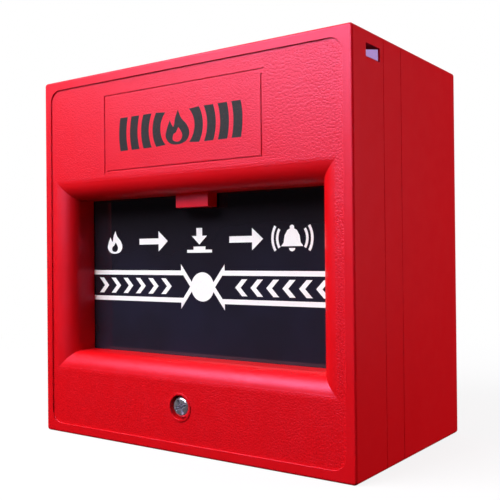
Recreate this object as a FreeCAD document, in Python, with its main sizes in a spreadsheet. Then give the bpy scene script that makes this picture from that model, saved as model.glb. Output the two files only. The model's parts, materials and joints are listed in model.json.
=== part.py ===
"""Manual call point: an 86 mm square wall box whose hinged front cover carries a pressable pane.

Millimetres. X runs right as seen from the front, Y towards the wall and Z up. The origin is the centre
of the back face, which lies on the wall. "Out" is the distance in front of the wall, so y = -out.
"""
import FreeCAD, Part
import Sketcher
import math
import os
import re

doc = FreeCAD.newDocument("ManualCallPoint")
sheet = doc.addObject("Spreadsheet::Sheet", "Sheet")
nodes = []

SIZES = {
    # outside
    "side": 86, "depth": 52, "corner_radius": 0.8, "edge_radius": 0.5, "wall": 2.2,
    "seam_out": 39, "seam_gap": 0.16, "line_out": 30.7, "line_width": 0.3, "line_depth": 0.06,
    # how far joined forms run into each other, how far cutters overshoot, and the play of close fits
    "overlap": 0.5, "bite": 0.1, "overshoot": 1, "fit": 0.02, "slide_fit": 0.05,
    # front face
    "face_wall": 2.6, "rim": 2.2, "panel_sink": 0.3, "panel_radius": 3,
    # engraved frame of the label, as two corners that do not quite meet
    "label_half": 22.25, "label_top": 37.25, "label_bottom": 19.7, "groove_width": 0.4,
    "groove_depth": 0.2, "groove_over": 0.35, "groove_gap": 0.65,
    # window
    "window_width": 69.6, "window_height": 36.9, "window_z": -4.65, "lip_width": 4.6, "lip_depth": 4,
    "collar_wall": 1.6, "collar_out": 43.55, "collar_gap": 0.15,
    "tab_width": 9.2, "tab_drop": 3.1, "tab_root": 0.6, "tab_inset": 0.2, "tab_out": 47,
    # cover screw, its insert in the box and its retaining washer
    "lock_z": -33, "head_hole": 2.65, "head_seat_out": 49.5, "shank_hole": 1.5, "lock_tube": 4.75,
    "lock_tube_out": 46.8, "lock_tube_gap": 0.6, "ring_width": 0.45, "ring_height": 0.15,
    "lock_shank": 1.25, "lock_length": 12.9, "lock_head": 2.4, "lock_head_height": 2, "lock_crown": 0.8,
    "lock_recess": 1.5, "lock_recess_depth": 1.2, "lock_pitch": 0.45, "lock_turns": 9,
    "lock_boss": 4, "lock_boss_out": 40.6, "insert_radius": 1.9, "insert_length": 4, "insert_bore": 1.3,
    "insert_sink": 0.2, "insert_room": 0.3, "tip_gap": 0.2, "tip_room": 3,
    "washer_radius": 2.6, "washer_thick": 0.6, "washer_bore": 1.29, "washer_play": 0.2,
    # hinge hooks and side slots
    "hook_inner": 4, "hook_outer": 5.8, "hook_width": 8, "hook_x": 25, "hook_back": 45, "hook_front": 75,
    "bead": 3.8, "bead_width": 12, "bead_root": 0.2,
    "slot_out": 40.6, "slot_depth": 6, "slot_z": 37.6, "slot_height": 2.7,
    # every tapping screw: shares of the head radius, and the cross recess
    "head_share": 0.7, "recess_share": 0.55, "recess_depth": 0.8, "recess_arm": 0.6, "shank_bite": 0.2,
    # inner frame with its screws and snap lugs
    "plate_side": 80.2, "plate_out": 44.5, "plate_thick": 2, "guide_wall": 1.8, "shelf_out": 32.5,
    "shelf_thick": 1.5, "shelf_width": 52, "shelf_height": 26, "slide_gap": 0.15,
    "frame_screw_x": 30, "frame_screw_z": -35, "frame_boss": 3.2, "frame_hole": 1.6,
    "frame_pilot": 1.25, "frame_pilot_bite": 0.6, "frame_pilot_depth": 6,
    "frame_head": 2.5, "frame_head_height": 1.7, "frame_thread_length": 4.8,
    "flange_thick": 1.5, "flange_height": 7, "flange_drop": 1, "flange_gap": 0.4,
    "lug_reach": 2.8, "lug_front": 5.6, "lug_back": 0.4, "lug_low": 0.2, "lug_high": 2.5, "lug_nose": 1.4,
    # pane, carrier and springs
    "pane_width": 71.1, "pane_height": 40, "pane_thick": 2.4, "pane_out": 41, "pane_corner": 1,
    "pane_edge": 0.4, "carrier_thick": 1.2, "carrier_inset": 0.3,
    "rib_spacing": 10, "rib_depth": 1.4, "rib_width": 48, "rib_thick": 1.2,
    "pusher_radius": 3, "pusher_x": 5.5, "pusher_rise": 0.85, "pusher_out": 31.84,
    "spring_x": 31, "spring_z": 16, "spring_radius": 1.9, "spring_wire": 0.25, "spring_turns": 5,
    "spring_gap": 0.02, "pin_gap": 0.4, "pin_rise": 1.5, "cup_rise": 1, "cup_wall": 1.1, "cup_gap": 0.2,
    # back box
    "base_wall": 2.5, "tongue": 1, "tongue_gap": 0.2, "tongue_rise": 2, "tongue_root": 3,
    "tongue_length": 60, "tongue_z": -5, "foot_width": 1.2, "foot_bite": 0.2, "foot_drop": 0.2,
    "fixing_spacing": 60.3, "fixing_width": 4.2, "fixing_length": 8,
    "cable_z": 24, "cable_hole": 8, "cable_bore": 4.5,
    "grommet_sink": 0.2, "grommet_rim": 1.8, "grommet_rim_thick": 1.5,
    # circuit board and its screws
    "board_width": 48, "board_height": 37, "board_z": -6.5, "board_out": 8, "board_thick": 1.6,
    "board_screw_x": 21, "board_screw_z": 14.5, "board_hole": 1.1, "board_post": 2.8,
    "board_thread": 0.95, "board_thread_length": 5, "board_head": 2,
    "capacitor_radius": 2.5, "capacitor_height": 5, "capacitor_x": 14, "capacitor_z": 4,
    "resistor_x": -1, "resistor_rise": 1.5, "resistor_waist": 1.05, "resistor_cap": 1.3,
    "resistor_cap_length": 1.5, "resistor_half": 3, "lead_radius": 0.3, "lead_reach": 5,
    # terminal block
    "ways": 4, "way_pitch": 5.08, "block_cheek": 0.4, "block_depth": 10, "block_height": 8.2,
    "block_z": -20.7, "way_hole": 1.8, "way_hole_depth": 5, "way_hole_rise": 0.4,
    "mouth_width": 4, "mouth_depth": 3.9, "mouth_rise": 1.6, "mouth_drop": 1.4,
    "way_head": 1.65, "way_head_height": 2, "way_head_sink": 0.6, "way_stem": 1,
    "way_slot": 0.6, "way_slot_depth": 0.7,
    "clamp_width": 3.8, "clamp_depth": 3, "clamp_height": 5, "clamp_rise": 1.8, "clamp_drop": 0.4,
    "clamp_wall": 0.5,
    # switch bracket
    "bracket_out": 15, "bracket_thick": 2, "bracket_width": 63, "bracket_height": 9.2,
    "bracket_screw_x": 28, "bracket_screw_z": -11.6, "bracket_hole": 1.6, "bracket_post": 3.2,
    "bracket_thread": 1.25, "bracket_thread_length": 7, "bracket_head": 2.7,
    "web_thick": 3, "web_width": 26, "web_z": -10, "web_hole": 0.9,
    # switch
    "switch_width": 20, "switch_out": 16.8, "switch_depth": 10.2, "switch_thick": 6.4, "lid_thick": 1.4,
    "switch_screw_x": 4.75, "switch_screw_out": 18.9, "case_hole": 1.05, "case_head": 1.9,
    "case_head_height": 1.3, "case_screw_length": 8.8, "case_slot": 0.5,
    "ear_side": 2.4, "ear_thick": 0.9, "chamber_width": 17.2, "chamber_depth": 4.4,
    "chamber_height": 3.8, "chamber_wall": 1.4,
    "pivot_x": -8, "pivot_out": 27.9, "pin_radius": 0.4, "pin_inset": 0.05,
    "lever_length": 14.8, "lever_rest": 12.5, "lever_thick": 0.4, "lever_width": 3.8, "lever_rise": 1.2,
    "plunger_x": -4, "plunger_radius": 0.8, "plunger_out": 28.7, "plunger_root": 2.4,
    "plunger_flange": 1.3, "plunger_flange_thick": 0.8,
    "blade_rise": 3.1, "blade_length": 15.6, "blade_thick": 0.15, "blade_width": 2.4, "blade_depth": 2.7,
    "terminal_pitch": 8, "terminal_width": 2.4, "terminal_thick": 0.5, "terminal_reach": 4.2,
    "terminal_root": 4.8, "wire_bend": 3.7, "wire_radius": 0.55, "wire_gap": 0.01,
}


def fill_sheet():
    """One driving size per row: its name in column A and its value, with that name as alias, in column B."""
    for row, (name, value) in enumerate(SIZES.items(), start=1):
        sheet.set(f"A{row}", name)
        sheet.set(f"B{row}", str(value))
        sheet.setAlias(f"B{row}", name)
    doc.recompute()


def formula(text):
    """An expression written with plain size names, pointed at the sheet."""
    return re.sub(r"[a-z_]{2,}", lambda word: sheet_name(word.group(0)), str(text))


def sheet_name(word):
    return f"Sheet.{word}" if word in SIZES else word


def bind(thing, **sizes):
    for name, text in sizes.items():
        thing.setExpression(name, formula(text))
    return thing


def place(thing, x=0, out=0, z=0, axis=(0, 0, 1), angle=0):
    """Puts a thing's origin at (x, -out, z), turned about an axis through that point."""
    turn = FreeCAD.Rotation(FreeCAD.Vector(*axis), angle)
    thing.Placement = FreeCAD.Placement(FreeCAD.Vector(0, 0, 0), turn)
    thing.setExpression(".Placement.Base.x", formula(x))
    thing.setExpression(".Placement.Base.y", formula(f"-({out})"))
    thing.setExpression(".Placement.Base.z", formula(z))
    return thing


def node(thing, name):
    """Marks a finished sub-part, under the name that its file gets."""
    thing.Label = name
    nodes.append(thing)
    return thing


# ---- Part primitives ----

def box(name, width, depth, height, x=0, out=0, z=0):
    """A block centred on x and z, from `out` to `out + depth` in front of the wall."""
    block = bind(doc.addObject("Part::Box", name), Length=width, Width=depth, Height=height)
    return place(block, f"({x}) - ({width}) / 2", f"({out}) + ({depth})", f"({z}) - ({height}) / 2")


def forward_rod(name, radius, length, x=0, out=0, z=0):
    """A cylinder along Y, from `out` towards the front."""
    rod = bind(doc.addObject("Part::Cylinder", name), Radius=radius, Height=length)
    return place(rod, x, out, z, (1, 0, 0), 90)


def upright_rod(name, radius, length, x=0, out=0, z=0):
    """A cylinder along Z, from z upwards."""
    rod = bind(doc.addObject("Part::Cylinder", name), Radius=radius, Height=length)
    return place(rod, x, out, z)


def cross_rod(name, radius, length, x=0, out=0, z=0):
    """A cylinder along X, from x to the right."""
    rod = bind(doc.addObject("Part::Cylinder", name), Radius=radius, Height=length)
    return place(rod, x, out, z, (0, 1, 0), 90)


def fuse(name, *shapes):
    whole = doc.addObject("Part::MultiFuse", name)
    whole.Shapes = list(shapes)
    whole.Refine = True
    return whole


def cut(name, base, *tools):
    tool = tools[0] if len(tools) == 1 else fuse(f"{name}_cutters", *tools)
    result = doc.addObject("Part::Cut", name)
    result.Base = base
    result.Tool = tool
    result.Refine = True
    return result


def group(name, *shapes):
    """Identical pieces kept together as one node of separate solids."""
    together = doc.addObject("Part::Compound", name)
    together.Links = list(shapes)
    return together


# ---- PartDesign bodies ----

def new_body(name):
    return node(doc.addObject("PartDesign::Body", f"{name}_body"), name)


def sketch_on(body, name, role, x=0, y=0, z=0):
    """A sketch on one of the body's own origin planes, shifted in that plane's own axes.

    On the XZ plane, x is X, y is Z and z is the distance out from the wall. On the YZ plane,
    x is Y, y is Z and z is X.
    """
    sketch = body.newObject("Sketcher::SketchObject", name)
    plane = next(p for p in body.Origin.OriginFeatures if p.Role == role)
    sketch.AttachmentSupport = [(plane, "")]
    sketch.MapMode = "FlatFace"
    sketch.setExpression(".AttachmentOffset.Base.x", formula(x))
    sketch.setExpression(".AttachmentOffset.Base.y", formula(y))
    sketch.setExpression(".AttachmentOffset.Base.z", formula(z))
    return sketch


def front_sketch(body, name, out, x=0, z=0):
    return sketch_on(body, name, "XZ_Plane", x, z, out)


def constrain(sketch, name, text, *what):
    """A named dimension bound to the sheet."""
    number = sketch.addConstraint(Sketcher.Constraint(*what, 1.0))
    sketch.renameConstraint(number, name)
    sketch.setExpression(f"Constraints.{name}", formula(text))


def rectangle(sketch, width, height):
    """A rectangle centred on the sketch's origin."""
    corners = [FreeCAD.Vector(x, y, 0) for x, y in ((-9, -9), (9, -9), (9, 9), (-9, 9))]
    for start, end in zip(corners, corners[1:] + corners[:1]):
        sketch.addGeometry(Part.LineSegment(start, end), False)
    for line in range(4):
        sketch.addConstraint(Sketcher.Constraint("Coincident", line, 2, (line + 1) % 4, 1))
        sketch.addConstraint(Sketcher.Constraint("Vertical" if line % 2 else "Horizontal", line))
    sketch.addConstraint(Sketcher.Constraint("Symmetric", 0, 1, 1, 2, -1, 1))
    constrain(sketch, "across", width, "DistanceX", 0, 1, 0, 2)
    constrain(sketch, "up", height, "DistanceY", 1, 1, 1, 2)
    return sketch


def rounded_rectangle(sketch, width, height, radius):
    """A rectangle with round corners, centred on the sketch's origin."""
    reach, round_off = 9, 1
    middles = [(reach, -reach), (reach, reach), (-reach, reach), (-reach, -reach)]
    for number, (x, y) in enumerate(middles):
        before = middles[number - 1]
        turn = math.radians(90 * number - 90)
        aside = FreeCAD.Vector(math.cos(turn), math.sin(turn), 0) * round_off
        line = Part.LineSegment(FreeCAD.Vector(*before, 0) + aside, FreeCAD.Vector(x, y, 0) + aside)
        sketch.addGeometry(line, False)
        circle = Part.Circle(FreeCAD.Vector(x, y, 0), FreeCAD.Vector(0, 0, 1), round_off)
        sketch.addGeometry(Part.ArcOfCircle(circle, turn, turn + math.pi / 2), False)
    for number in range(4):
        line, arc, after = 2 * number, 2 * number + 1, (2 * number + 2) % 8
        sketch.addConstraint(Sketcher.Constraint("Tangent", line, 2, arc, 1))
        sketch.addConstraint(Sketcher.Constraint("Tangent", arc, 2, after, 1))
        sketch.addConstraint(Sketcher.Constraint("Vertical" if number % 2 else "Horizontal", line))
    for arc in (3, 5, 7):
        sketch.addConstraint(Sketcher.Constraint("Equal", 1, arc))
    sketch.addConstraint(Sketcher.Constraint("Symmetric", 1, 3, 5, 3, -1, 1))
    constrain(sketch, "corner", radius, "Radius", 1)
    constrain(sketch, "across", f"({width}) - 2 * ({radius})", "DistanceX", 7, 3, 1, 3)
    constrain(sketch, "up", f"({height}) - 2 * ({radius})", "DistanceY", 1, 3, 3, 3)
    return sketch


def circle(sketch, radius):
    """A circle round the sketch's origin."""
    number = sketch.addGeometry(Part.Circle(FreeCAD.Vector(0, 0, 0), FreeCAD.Vector(0, 0, 1), 1), False)
    sketch.addConstraint(Sketcher.Constraint("Coincident", number, 3, -1, 1))
    constrain(sketch, "ring", radius, "Radius", number)
    return sketch


def slot(sketch, length, width):
    """A round-ended slot along the sketch's x axis, centred on its origin."""
    half = 3
    ends = ((half, -math.pi / 2), (-half, math.pi / 2))
    for x, start in ends:
        ring = Part.Circle(FreeCAD.Vector(x, 0, 0), FreeCAD.Vector(0, 0, 1), 1)
        sketch.addGeometry(Part.ArcOfCircle(ring, start, start + math.pi), False)
    sketch.addGeometry(Part.LineSegment(FreeCAD.Vector(half, 1, 0), FreeCAD.Vector(-half, 1, 0)), False)
    sketch.addGeometry(Part.LineSegment(FreeCAD.Vector(-half, -1, 0), FreeCAD.Vector(half, -1, 0)), False)
    for joint in ((0, 2, 2, 1), (2, 2, 1, 1), (1, 2, 3, 1), (3, 2, 0, 1)):
        sketch.addConstraint(Sketcher.Constraint("Tangent", *joint))
    sketch.addConstraint(Sketcher.Constraint("Equal", 0, 1))
    sketch.addConstraint(Sketcher.Constraint("Symmetric", 0, 3, 1, 3, -1, 1))
    sketch.addConstraint(Sketcher.Constraint("Horizontal", 0, 3, 1, 3))
    constrain(sketch, "end", f"({width}) / 2", "Radius", 0)
    constrain(sketch, "between", f"({length}) - ({width})", "DistanceX", 1, 3, 0, 3)
    return sketch


def outline(sketch, points):
    """A closed chain of straight lines through points given as pairs of expressions."""
    values = [tuple(float(doc.Sheet.evalExpression(formula(v))) for v in p) for p in points]
    corners = [FreeCAD.Vector(x, y, 0) for x, y in values]
    for start, end in zip(corners, corners[1:] + corners[:1]):
        sketch.addGeometry(Part.LineSegment(start, end), False)
    for line in range(len(points)):
        after = (line + 1) % len(points)
        sketch.addConstraint(Sketcher.Constraint("Coincident", line, 2, after, 1))
    for line, (x, y) in enumerate(points):
        constrain(sketch, f"across{line}", x, "DistanceX", -1, 1, line, 1)
        constrain(sketch, f"up{line}", y, "DistanceY", -1, 1, line, 1)
    return sketch


def pad(body, sketch, length, both_ways=False):
    """Adds material from the sketch along its normal: towards the front from an XZ sketch."""
    feature = body.newObject("PartDesign::Pad", f"{sketch.Name}_pad")
    feature.Profile = sketch
    if both_ways:
        feature.SideType = "Symmetric"
    return bind(feature, Length=length)


def pocket(body, sketch, length, both_ways=False):
    """Removes material from the sketch against its normal: towards the wall from an XZ sketch."""
    feature = body.newObject("PartDesign::Pocket", f"{sketch.Name}_pocket")
    feature.Profile = sketch
    if both_ways:
        feature.SideType = "Symmetric"
    return bind(feature, Length=length)


def round_edges(body, name, radius, chosen):
    """Fillets the edges of the body's last feature that `chosen` accepts."""
    doc.recompute()
    base = body.Tip
    picked = [f"Edge{n}" for n, edge in enumerate(base.Shape.Edges, start=1) if chosen(edge)]
    fillet = body.newObject("PartDesign::Fillet", name)
    fillet.Base = (base, picked)
    return bind(fillet, Radius=radius)


def lies_at(edge, y):
    """True if the whole edge lies in the plane at that y."""
    return abs(edge.BoundBox.YMin - y) < 1e-4 and abs(edge.BoundBox.YMax - y) < 1e-4


def number(text):
    """The value of an expression, for the few places that need it in code."""
    return float(sheet.evalExpression(formula(text)))


# ---- the cover and what it carries ----

FACE_OUT = "depth - panel_sink"
INSIDE = "side - 2 * wall"
COVER_BACK = "seam_out + seam_gap / 2"
BOX_FRONT = "seam_out - seam_gap / 2"
PLATE_FRONT = "plate_out + plate_thick"
SIDES = (("left", "-"), ("right", ""))
LEVELS = (("top", ""), ("low", "-"))


def front_cover():
    """Red moulded cover: skirt, sunk front panel, window with its surround, screw hole and hinge hooks."""
    body = new_body("front_cover")
    square = rounded_rectangle(front_sketch(body, "cover_square", COVER_BACK), "side", "side", "corner_radius")
    pad(body, square, f"depth - ({COVER_BACK})")
    round_edges(body, "cover_edges", "edge_radius", lambda edge: lies_at(edge, -number("depth")))
    hollow = rectangle(front_sketch(body, "cover_hollow", "depth - face_wall"), INSIDE, INSIDE)
    pocket(body, hollow, f"depth - face_wall - ({COVER_BACK})")
    panel_side = "side - 2 * rim"
    panel = rounded_rectangle(front_sketch(body, "panel", "depth"), panel_side, panel_side, "panel_radius")
    pocket(body, panel, "panel_sink")
    label_frame(body)
    collar = rectangle(
        front_sketch(body, "collar", "collar_out", 0, "window_z"),
        "window_width + 2 * collar_wall",
        "window_height + 2 * collar_wall",
    )
    pad(body, collar, "depth - face_wall - collar_out + overlap")
    tube = circle(front_sketch(body, "lock_tube", "lock_tube_out", 0, "lock_z"), "lock_tube")
    pad(body, tube, "depth - face_wall - lock_tube_out + overlap")
    for side, sign in SIDES:
        place_x = f"{sign}frame_screw_x"
        boss_place = front_sketch(body, f"boss_{side}", PLATE_FRONT, place_x, "frame_screw_z")
        boss = circle(boss_place, "frame_boss")
        pad(body, boss, f"depth - face_wall - ({PLATE_FRONT}) + overlap")
    window = rectangle(front_sketch(body, "window", "depth", 0, "window_z"), "window_width", "window_height")
    pocket(body, window, "depth - collar_out + overshoot")
    window_surround(body)
    ring = circle(front_sketch(body, "hole_ring", FACE_OUT, 0, "lock_z"), "head_hole + ring_width")
    pad(body, ring, "ring_height")
    seat = circle(front_sketch(body, "head_seat", "depth", 0, "lock_z"), "head_hole")
    pocket(body, seat, "depth - head_seat_out")
    through = circle(front_sketch(body, "shank_hole", "depth", 0, "lock_z"), "shank_hole")
    pocket(body, through, "depth - lock_tube_out + overshoot")
    for side, sign in SIDES:
        place_x = f"{sign}frame_screw_x"
        pilot_end = "depth - face_wall + frame_pilot_bite"
        pilot = circle(front_sketch(body, f"pilot_{side}", pilot_end, place_x, "frame_screw_z"), "frame_pilot")
        pocket(body, pilot, "frame_pilot_depth")
    tab_z = "window_z + window_height / 2 - tab_drop / 2 + tab_root / 2"
    tab_place = front_sketch(body, "tab", "collar_out + tab_inset", 0, tab_z)
    pad(body, rectangle(tab_place, "tab_width", "tab_drop + tab_root"), "tab_out - collar_out - tab_inset")
    slots = rectangle(
        sketch_on(body, "lug_slots", "YZ_Plane", "-slot_out - slot_depth / 2", "slot_z + slot_height / 2", 0),
        "slot_depth",
        "slot_height",
    )
    pocket(body, slots, "side + 2 * overshoot", both_ways=True)
    for side, sign in SIDES:
        hinge_hook(body, side, sign)
    return body


def label_frame(body):
    """Engraves two L-shaped grooves that frame the label and leave a small gap at two opposite corners."""
    left, right = "-label_half - groove_width / 2", "label_half + groove_width / 2"
    inner_left, inner_right = "-label_half + groove_width / 2", "label_half - groove_width / 2"
    top, inner_top = "label_top + groove_width / 2", "label_top - groove_width / 2"
    bottom, inner_bottom = "label_bottom - groove_width / 2", "label_bottom + groove_width / 2"
    high_end, low_end = f"{right} + groove_over", f"{bottom} - groove_over"
    corners = {
        "upper": [
            (left, low_end), (inner_left, low_end), (inner_left, inner_top),
            (high_end, inner_top), (high_end, top), (left, top),
        ],
        "lower": [
            (inner_right, f"{inner_top} - groove_gap"), (right, f"{inner_top} - groove_gap"), (right, bottom),
            (f"{inner_left} + groove_gap", bottom), (f"{inner_left} + groove_gap", inner_bottom),
            (inner_right, inner_bottom),
        ],
    }
    for name, points in corners.items():
        groove = outline(front_sketch(body, f"label_{name}", FACE_OUT), points)
        pocket(body, groove, "groove_depth")


def window_surround(body):
    """Sweeps the corner that the elliptical surround leaves out round the window, with mitred corners."""
    path = front_sketch(body, "surround_path", FACE_OUT, 0, "window_z")
    half_width = number("window_width / 2")
    half_height = number("window_height / 2")
    corners = [(0, -half_height), (half_width, -half_height), (half_width, half_height)]
    corners += [(-half_width, half_height), (-half_width, -half_height)]
    points = [FreeCAD.Vector(x, y, 0) for x, y in corners]
    for start, end in zip(points, points[1:] + points[:1]):
        path.addGeometry(Part.LineSegment(start, end), False)
    bottom = "window_z - window_height / 2"
    profile = sketch_on(body, "surround_profile", "YZ_Plane", f"-({FACE_OUT})", bottom, 0)
    width = number("lip_width")
    depth = number("lip_depth")
    above = number("overshoot")
    middle = FreeCAD.Vector(depth, -width, 0)
    ellipse = Part.Ellipse(FreeCAD.Vector(depth, 0, 0), FreeCAD.Vector(0, -width, 0), middle)
    face_end = FreeCAD.Vector(0, -width, 0)
    wall_end = FreeCAD.Vector(depth, 0, 0)
    first, last = ellipse.parameter(wall_end), ellipse.parameter(face_end)
    profile.addGeometry(Part.ArcOfEllipse(ellipse, first, last), False)
    chain = [face_end, FreeCAD.Vector(-above, -width, 0), FreeCAD.Vector(-above, 0, 0), wall_end]
    for start, end in zip(chain, chain[1:]):
        profile.addGeometry(Part.LineSegment(start, end), False)
    surround = body.newObject("PartDesign::SubtractivePipe", "surround")
    surround.Profile = profile
    surround.Spine = path
    surround.Transition = "Right corner"


def hinge_hook(body, side, sign):
    """A curved hook round the hinge axis, which is the box's top outer edge at the seam."""
    for way, angle, reverse in (("back", "hook_back", False), ("front", "hook_front", True)):
        section = front_sketch(body, f"hook_{side}_{way}", "seam_out", f"{sign}hook_x", "side / 2")
        width = number("hook_width") / 2
        low, high = -number("hook_outer"), -number("hook_inner")
        corners = [(-width, low), (width, low), (width, high), (-width, high)]
        points = [FreeCAD.Vector(x, y, 0) for x, y in corners]
        for start, end in zip(points, points[1:] + points[:1]):
            section.addGeometry(Part.LineSegment(start, end), False)
        hook = body.newObject("PartDesign::Revolution", f"hook_{side}_{way}_turn")
        hook.Profile = section
        hook.ReferenceAxis = (section, ["H_Axis"])
        hook.Reversed = reverse
        bind(hook, Angle=angle)


def inner_frame():
    """Pale frame behind the cover: guides the pane, seats its springs and snaps into the side slots."""
    body = new_body("inner_frame")
    guide_width = "pane_width + 2 * slide_gap"
    guide_height = "pane_height + 2 * slide_gap"
    plate = rectangle(front_sketch(body, "frame_plate", "plate_out"), "plate_side", "plate_side")
    pad(body, plate, "plate_thick")
    walls = rectangle(
        front_sketch(body, "guide_walls", "shelf_out", 0, "window_z"),
        f"{guide_width} + 2 * guide_wall",
        f"{guide_height} + 2 * guide_wall",
    )
    pad(body, walls, "plate_out - shelf_out + overlap")
    opening = rectangle(
        front_sketch(body, "collar_opening", PLATE_FRONT, 0, "window_z"),
        "window_width + 2 * collar_wall + 4 * collar_gap",
        "window_height + 2 * collar_wall + 4 * collar_gap",
    )
    pocket(body, opening, f"{PLATE_FRONT} - collar_out + collar_gap")
    guide = rectangle(front_sketch(body, "pane_guide", PLATE_FRONT, 0, "window_z"), guide_width, guide_height)
    pocket(body, guide, f"{PLATE_FRONT} - shelf_out - shelf_thick")
    centre_place = front_sketch(body, "shelf_opening", "shelf_out + shelf_thick + overshoot", 0, "window_z")
    centre = rectangle(centre_place, "shelf_width", "shelf_height")
    pocket(body, centre, "shelf_thick + 2 * overshoot")
    lock_place = front_sketch(body, "lock_gap", f"{PLATE_FRONT} + overshoot", 0, "lock_z")
    pocket(body, circle(lock_place, "lock_tube + lock_tube_gap"), "plate_thick + 2 * overshoot")
    for side, sign in SIDES:
        screw_x = f"{sign}frame_screw_x"
        above = f"{PLATE_FRONT} + overshoot"
        hole_place = front_sketch(body, f"frame_hole_{side}", above, screw_x, "frame_screw_z")
        pocket(body, circle(hole_place, "frame_hole"), "plate_thick + 2 * overshoot")
        flange_x = f"{sign}(plate_side / 2 - flange_thick / 2)"
        flange_back = "slot_out + flange_gap"
        flange_place = front_sketch(body, f"flange_{side}", flange_back, flange_x, "slot_z - flange_drop")
        flange = rectangle(flange_place, "flange_thick", "flange_height")
        pad(body, flange, f"plate_out - ({flange_back}) + overlap")
        snap_lug(body, side, sign)
        for level, up in LEVELS:
            x, z = f"{sign}spring_x", f"window_z + {up}spring_z"
            foot = "shelf_out + shelf_thick - overlap"
            pin_place = front_sketch(body, f"spring_pin_{side}_{level}", foot, x, z)
            pad(body, circle(pin_place, "spring_radius - spring_wire - pin_gap"), "pin_rise + overlap")
    return body


def snap_lug(body, side, sign):
    """The wedge that shows in the cover's side slot: flat below, its top sloping up towards the wall."""
    root = "plate_side / 2 - bite"
    start = f"-({root}) - lug_reach" if sign else root
    lug = sketch_on(body, f"lug_{side}", "YZ_Plane", "-slot_out", "slot_z", start)
    corners = [("-lug_front", "lug_low"), ("-lug_back", "lug_low"), ("-lug_back", "lug_high")]
    outline(lug, corners + [("-lug_front", "lug_nose")])
    pad(body, lug, "lug_reach")


def frame_screws():
    """Two tapping screws that hold the lower edge of the inner frame to the cover."""
    screws = []
    for side, sign in SIDES:
        x, z = f"{sign}frame_screw_x", "frame_screw_z"
        top = "plate_out - frame_head_height"
        label = f"frame_screw_{side}"
        head = forward_rod(f"{label}_head", "frame_head", "frame_head_height", x, top, z)
        length = "frame_thread_length + shank_bite"
        shank = forward_rod(f"{label}_shank", "frame_pilot - fit", length, x, "plate_out - shank_bite", z)
        reach = "frame_head * recess_share"
        recess = cross_recess(f"{label}_recess", reach, "recess_depth", x, top, z, facing_wall=True)
        screws.append(cut(label, fuse(f"{label}_solid", head, shank), recess))
    return node(group("frame_screw_pair", *screws), "frame_screws")


def cross_recess(name, radius, depth, x, out, z, facing_wall=False):
    """The cutter for a cross recess in a screw head whose top is at `out`."""
    start = f"({out}) - overlap" if facing_wall else f"({out}) - ({depth})"
    length = f"({depth}) + overlap"
    wide = box(f"{name}_wide", f"2 * ({radius})", length, "recess_arm", x, start, z)
    tall = box(f"{name}_tall", "recess_arm", length, f"2 * ({radius})", x, start, z)
    return fuse(name, wide, tall)


def pane():
    """Glossy dark pane with softened edges. Pressing it works the switch."""
    body = new_body("call_pane")
    plate_place = front_sketch(body, "pane_plate", "pane_out", 0, "window_z")
    pad(body, rounded_rectangle(plate_place, "pane_width", "pane_height", "pane_corner"), "pane_thick")
    round_edges(body, "pane_edges", "pane_edge", lambda edge: lies_at(edge, -number("pane_out + pane_thick")))
    return body


def pane_carrier():
    """Black carrier bonded behind the pane, with ribs, spring cups and the pusher that meets the lever."""
    body = new_body("pane_carrier")
    plate_out = "pane_out - carrier_thick"
    plate_place = front_sketch(body, "carrier_plate", plate_out, 0, "window_z")
    plate = rectangle(plate_place, "pane_width - 2 * carrier_inset", "pane_height - 2 * carrier_inset")
    pad(body, plate, "carrier_thick")
    for row, height in enumerate(("-rib_spacing", "pusher_rise", "rib_spacing")):
        rib_place = front_sketch(body, f"rib_{row}", f"{plate_out} - rib_depth", 0, f"window_z + {height}")
        pad(body, rectangle(rib_place, "rib_width", "rib_thick"), "rib_depth + bite")
    pusher_place = front_sketch(body, "pusher", "pusher_out", "pusher_x", "window_z + pusher_rise")
    pad(body, circle(pusher_place, "pusher_radius"), f"{plate_out} - pusher_out + bite")
    for side, sign in SIDES:
        for level, up in LEVELS:
            x, z = f"{sign}spring_x", f"window_z + {up}spring_z"
            cup_place = front_sketch(body, f"cup_{side}_{level}", f"{plate_out} - cup_rise", x, z)
            pad(body, circle(cup_place, "spring_radius + cup_wall"), "cup_rise + bite")
    for side, sign in SIDES:
        for level, up in LEVELS:
            x, z = f"{sign}spring_x", f"window_z + {up}spring_z"
            seat_place = front_sketch(body, f"seat_{side}_{level}", plate_out, x, z)
            pocket(body, circle(seat_place, "spring_radius + spring_wire + cup_gap"), "cup_rise + overlap")
    return body


def pane_springs():
    """Four coil springs between the inner frame's shelf and the carrier."""
    springs = []
    start = "shelf_out + shelf_thick + spring_wire + spring_gap"
    height = "pane_out - carrier_thick - shelf_out - shelf_thick - 2 * spring_wire - 2 * spring_gap"
    for side, sign in SIDES:
        for level, up in LEVELS:
            x, z = f"{sign}spring_x", f"window_z + {up}spring_z"
            springs.append(coil(f"spring_{side}_{level}", start, height, x, z))
    return node(group("pane_spring_set", *springs), "pane_springs")


def coil(name, out, height, x, z):
    """A coil spring along Y, standing at `out` and reaching `height` towards the front."""
    helix = bind(
        doc.addObject("Part::Helix", f"{name}_helix"),
        Pitch=f"({height}) / spring_turns",
        Height=height,
        Radius="spring_radius",
    )
    wire = bind(doc.addObject("Part::Circle", f"{name}_wire"), Radius="spring_wire")
    wire.Placement = FreeCAD.Placement(
        FreeCAD.Vector(0, 0, 0), FreeCAD.Rotation(FreeCAD.Vector(1, 0, 0), 90)
    )
    wire.setExpression(".Placement.Base.x", formula("spring_radius"))
    doc.recompute()
    sweep = doc.addObject("Part::Sweep", name)
    sweep.Sections = [wire]
    sweep.Spine = (helix, [f"Edge{n + 1}" for n in range(len(helix.Shape.Edges))])
    sweep.Solid = True
    sweep.Frenet = True
    return place(sweep, x, out, z, (1, 0, 0), 90)


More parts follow.
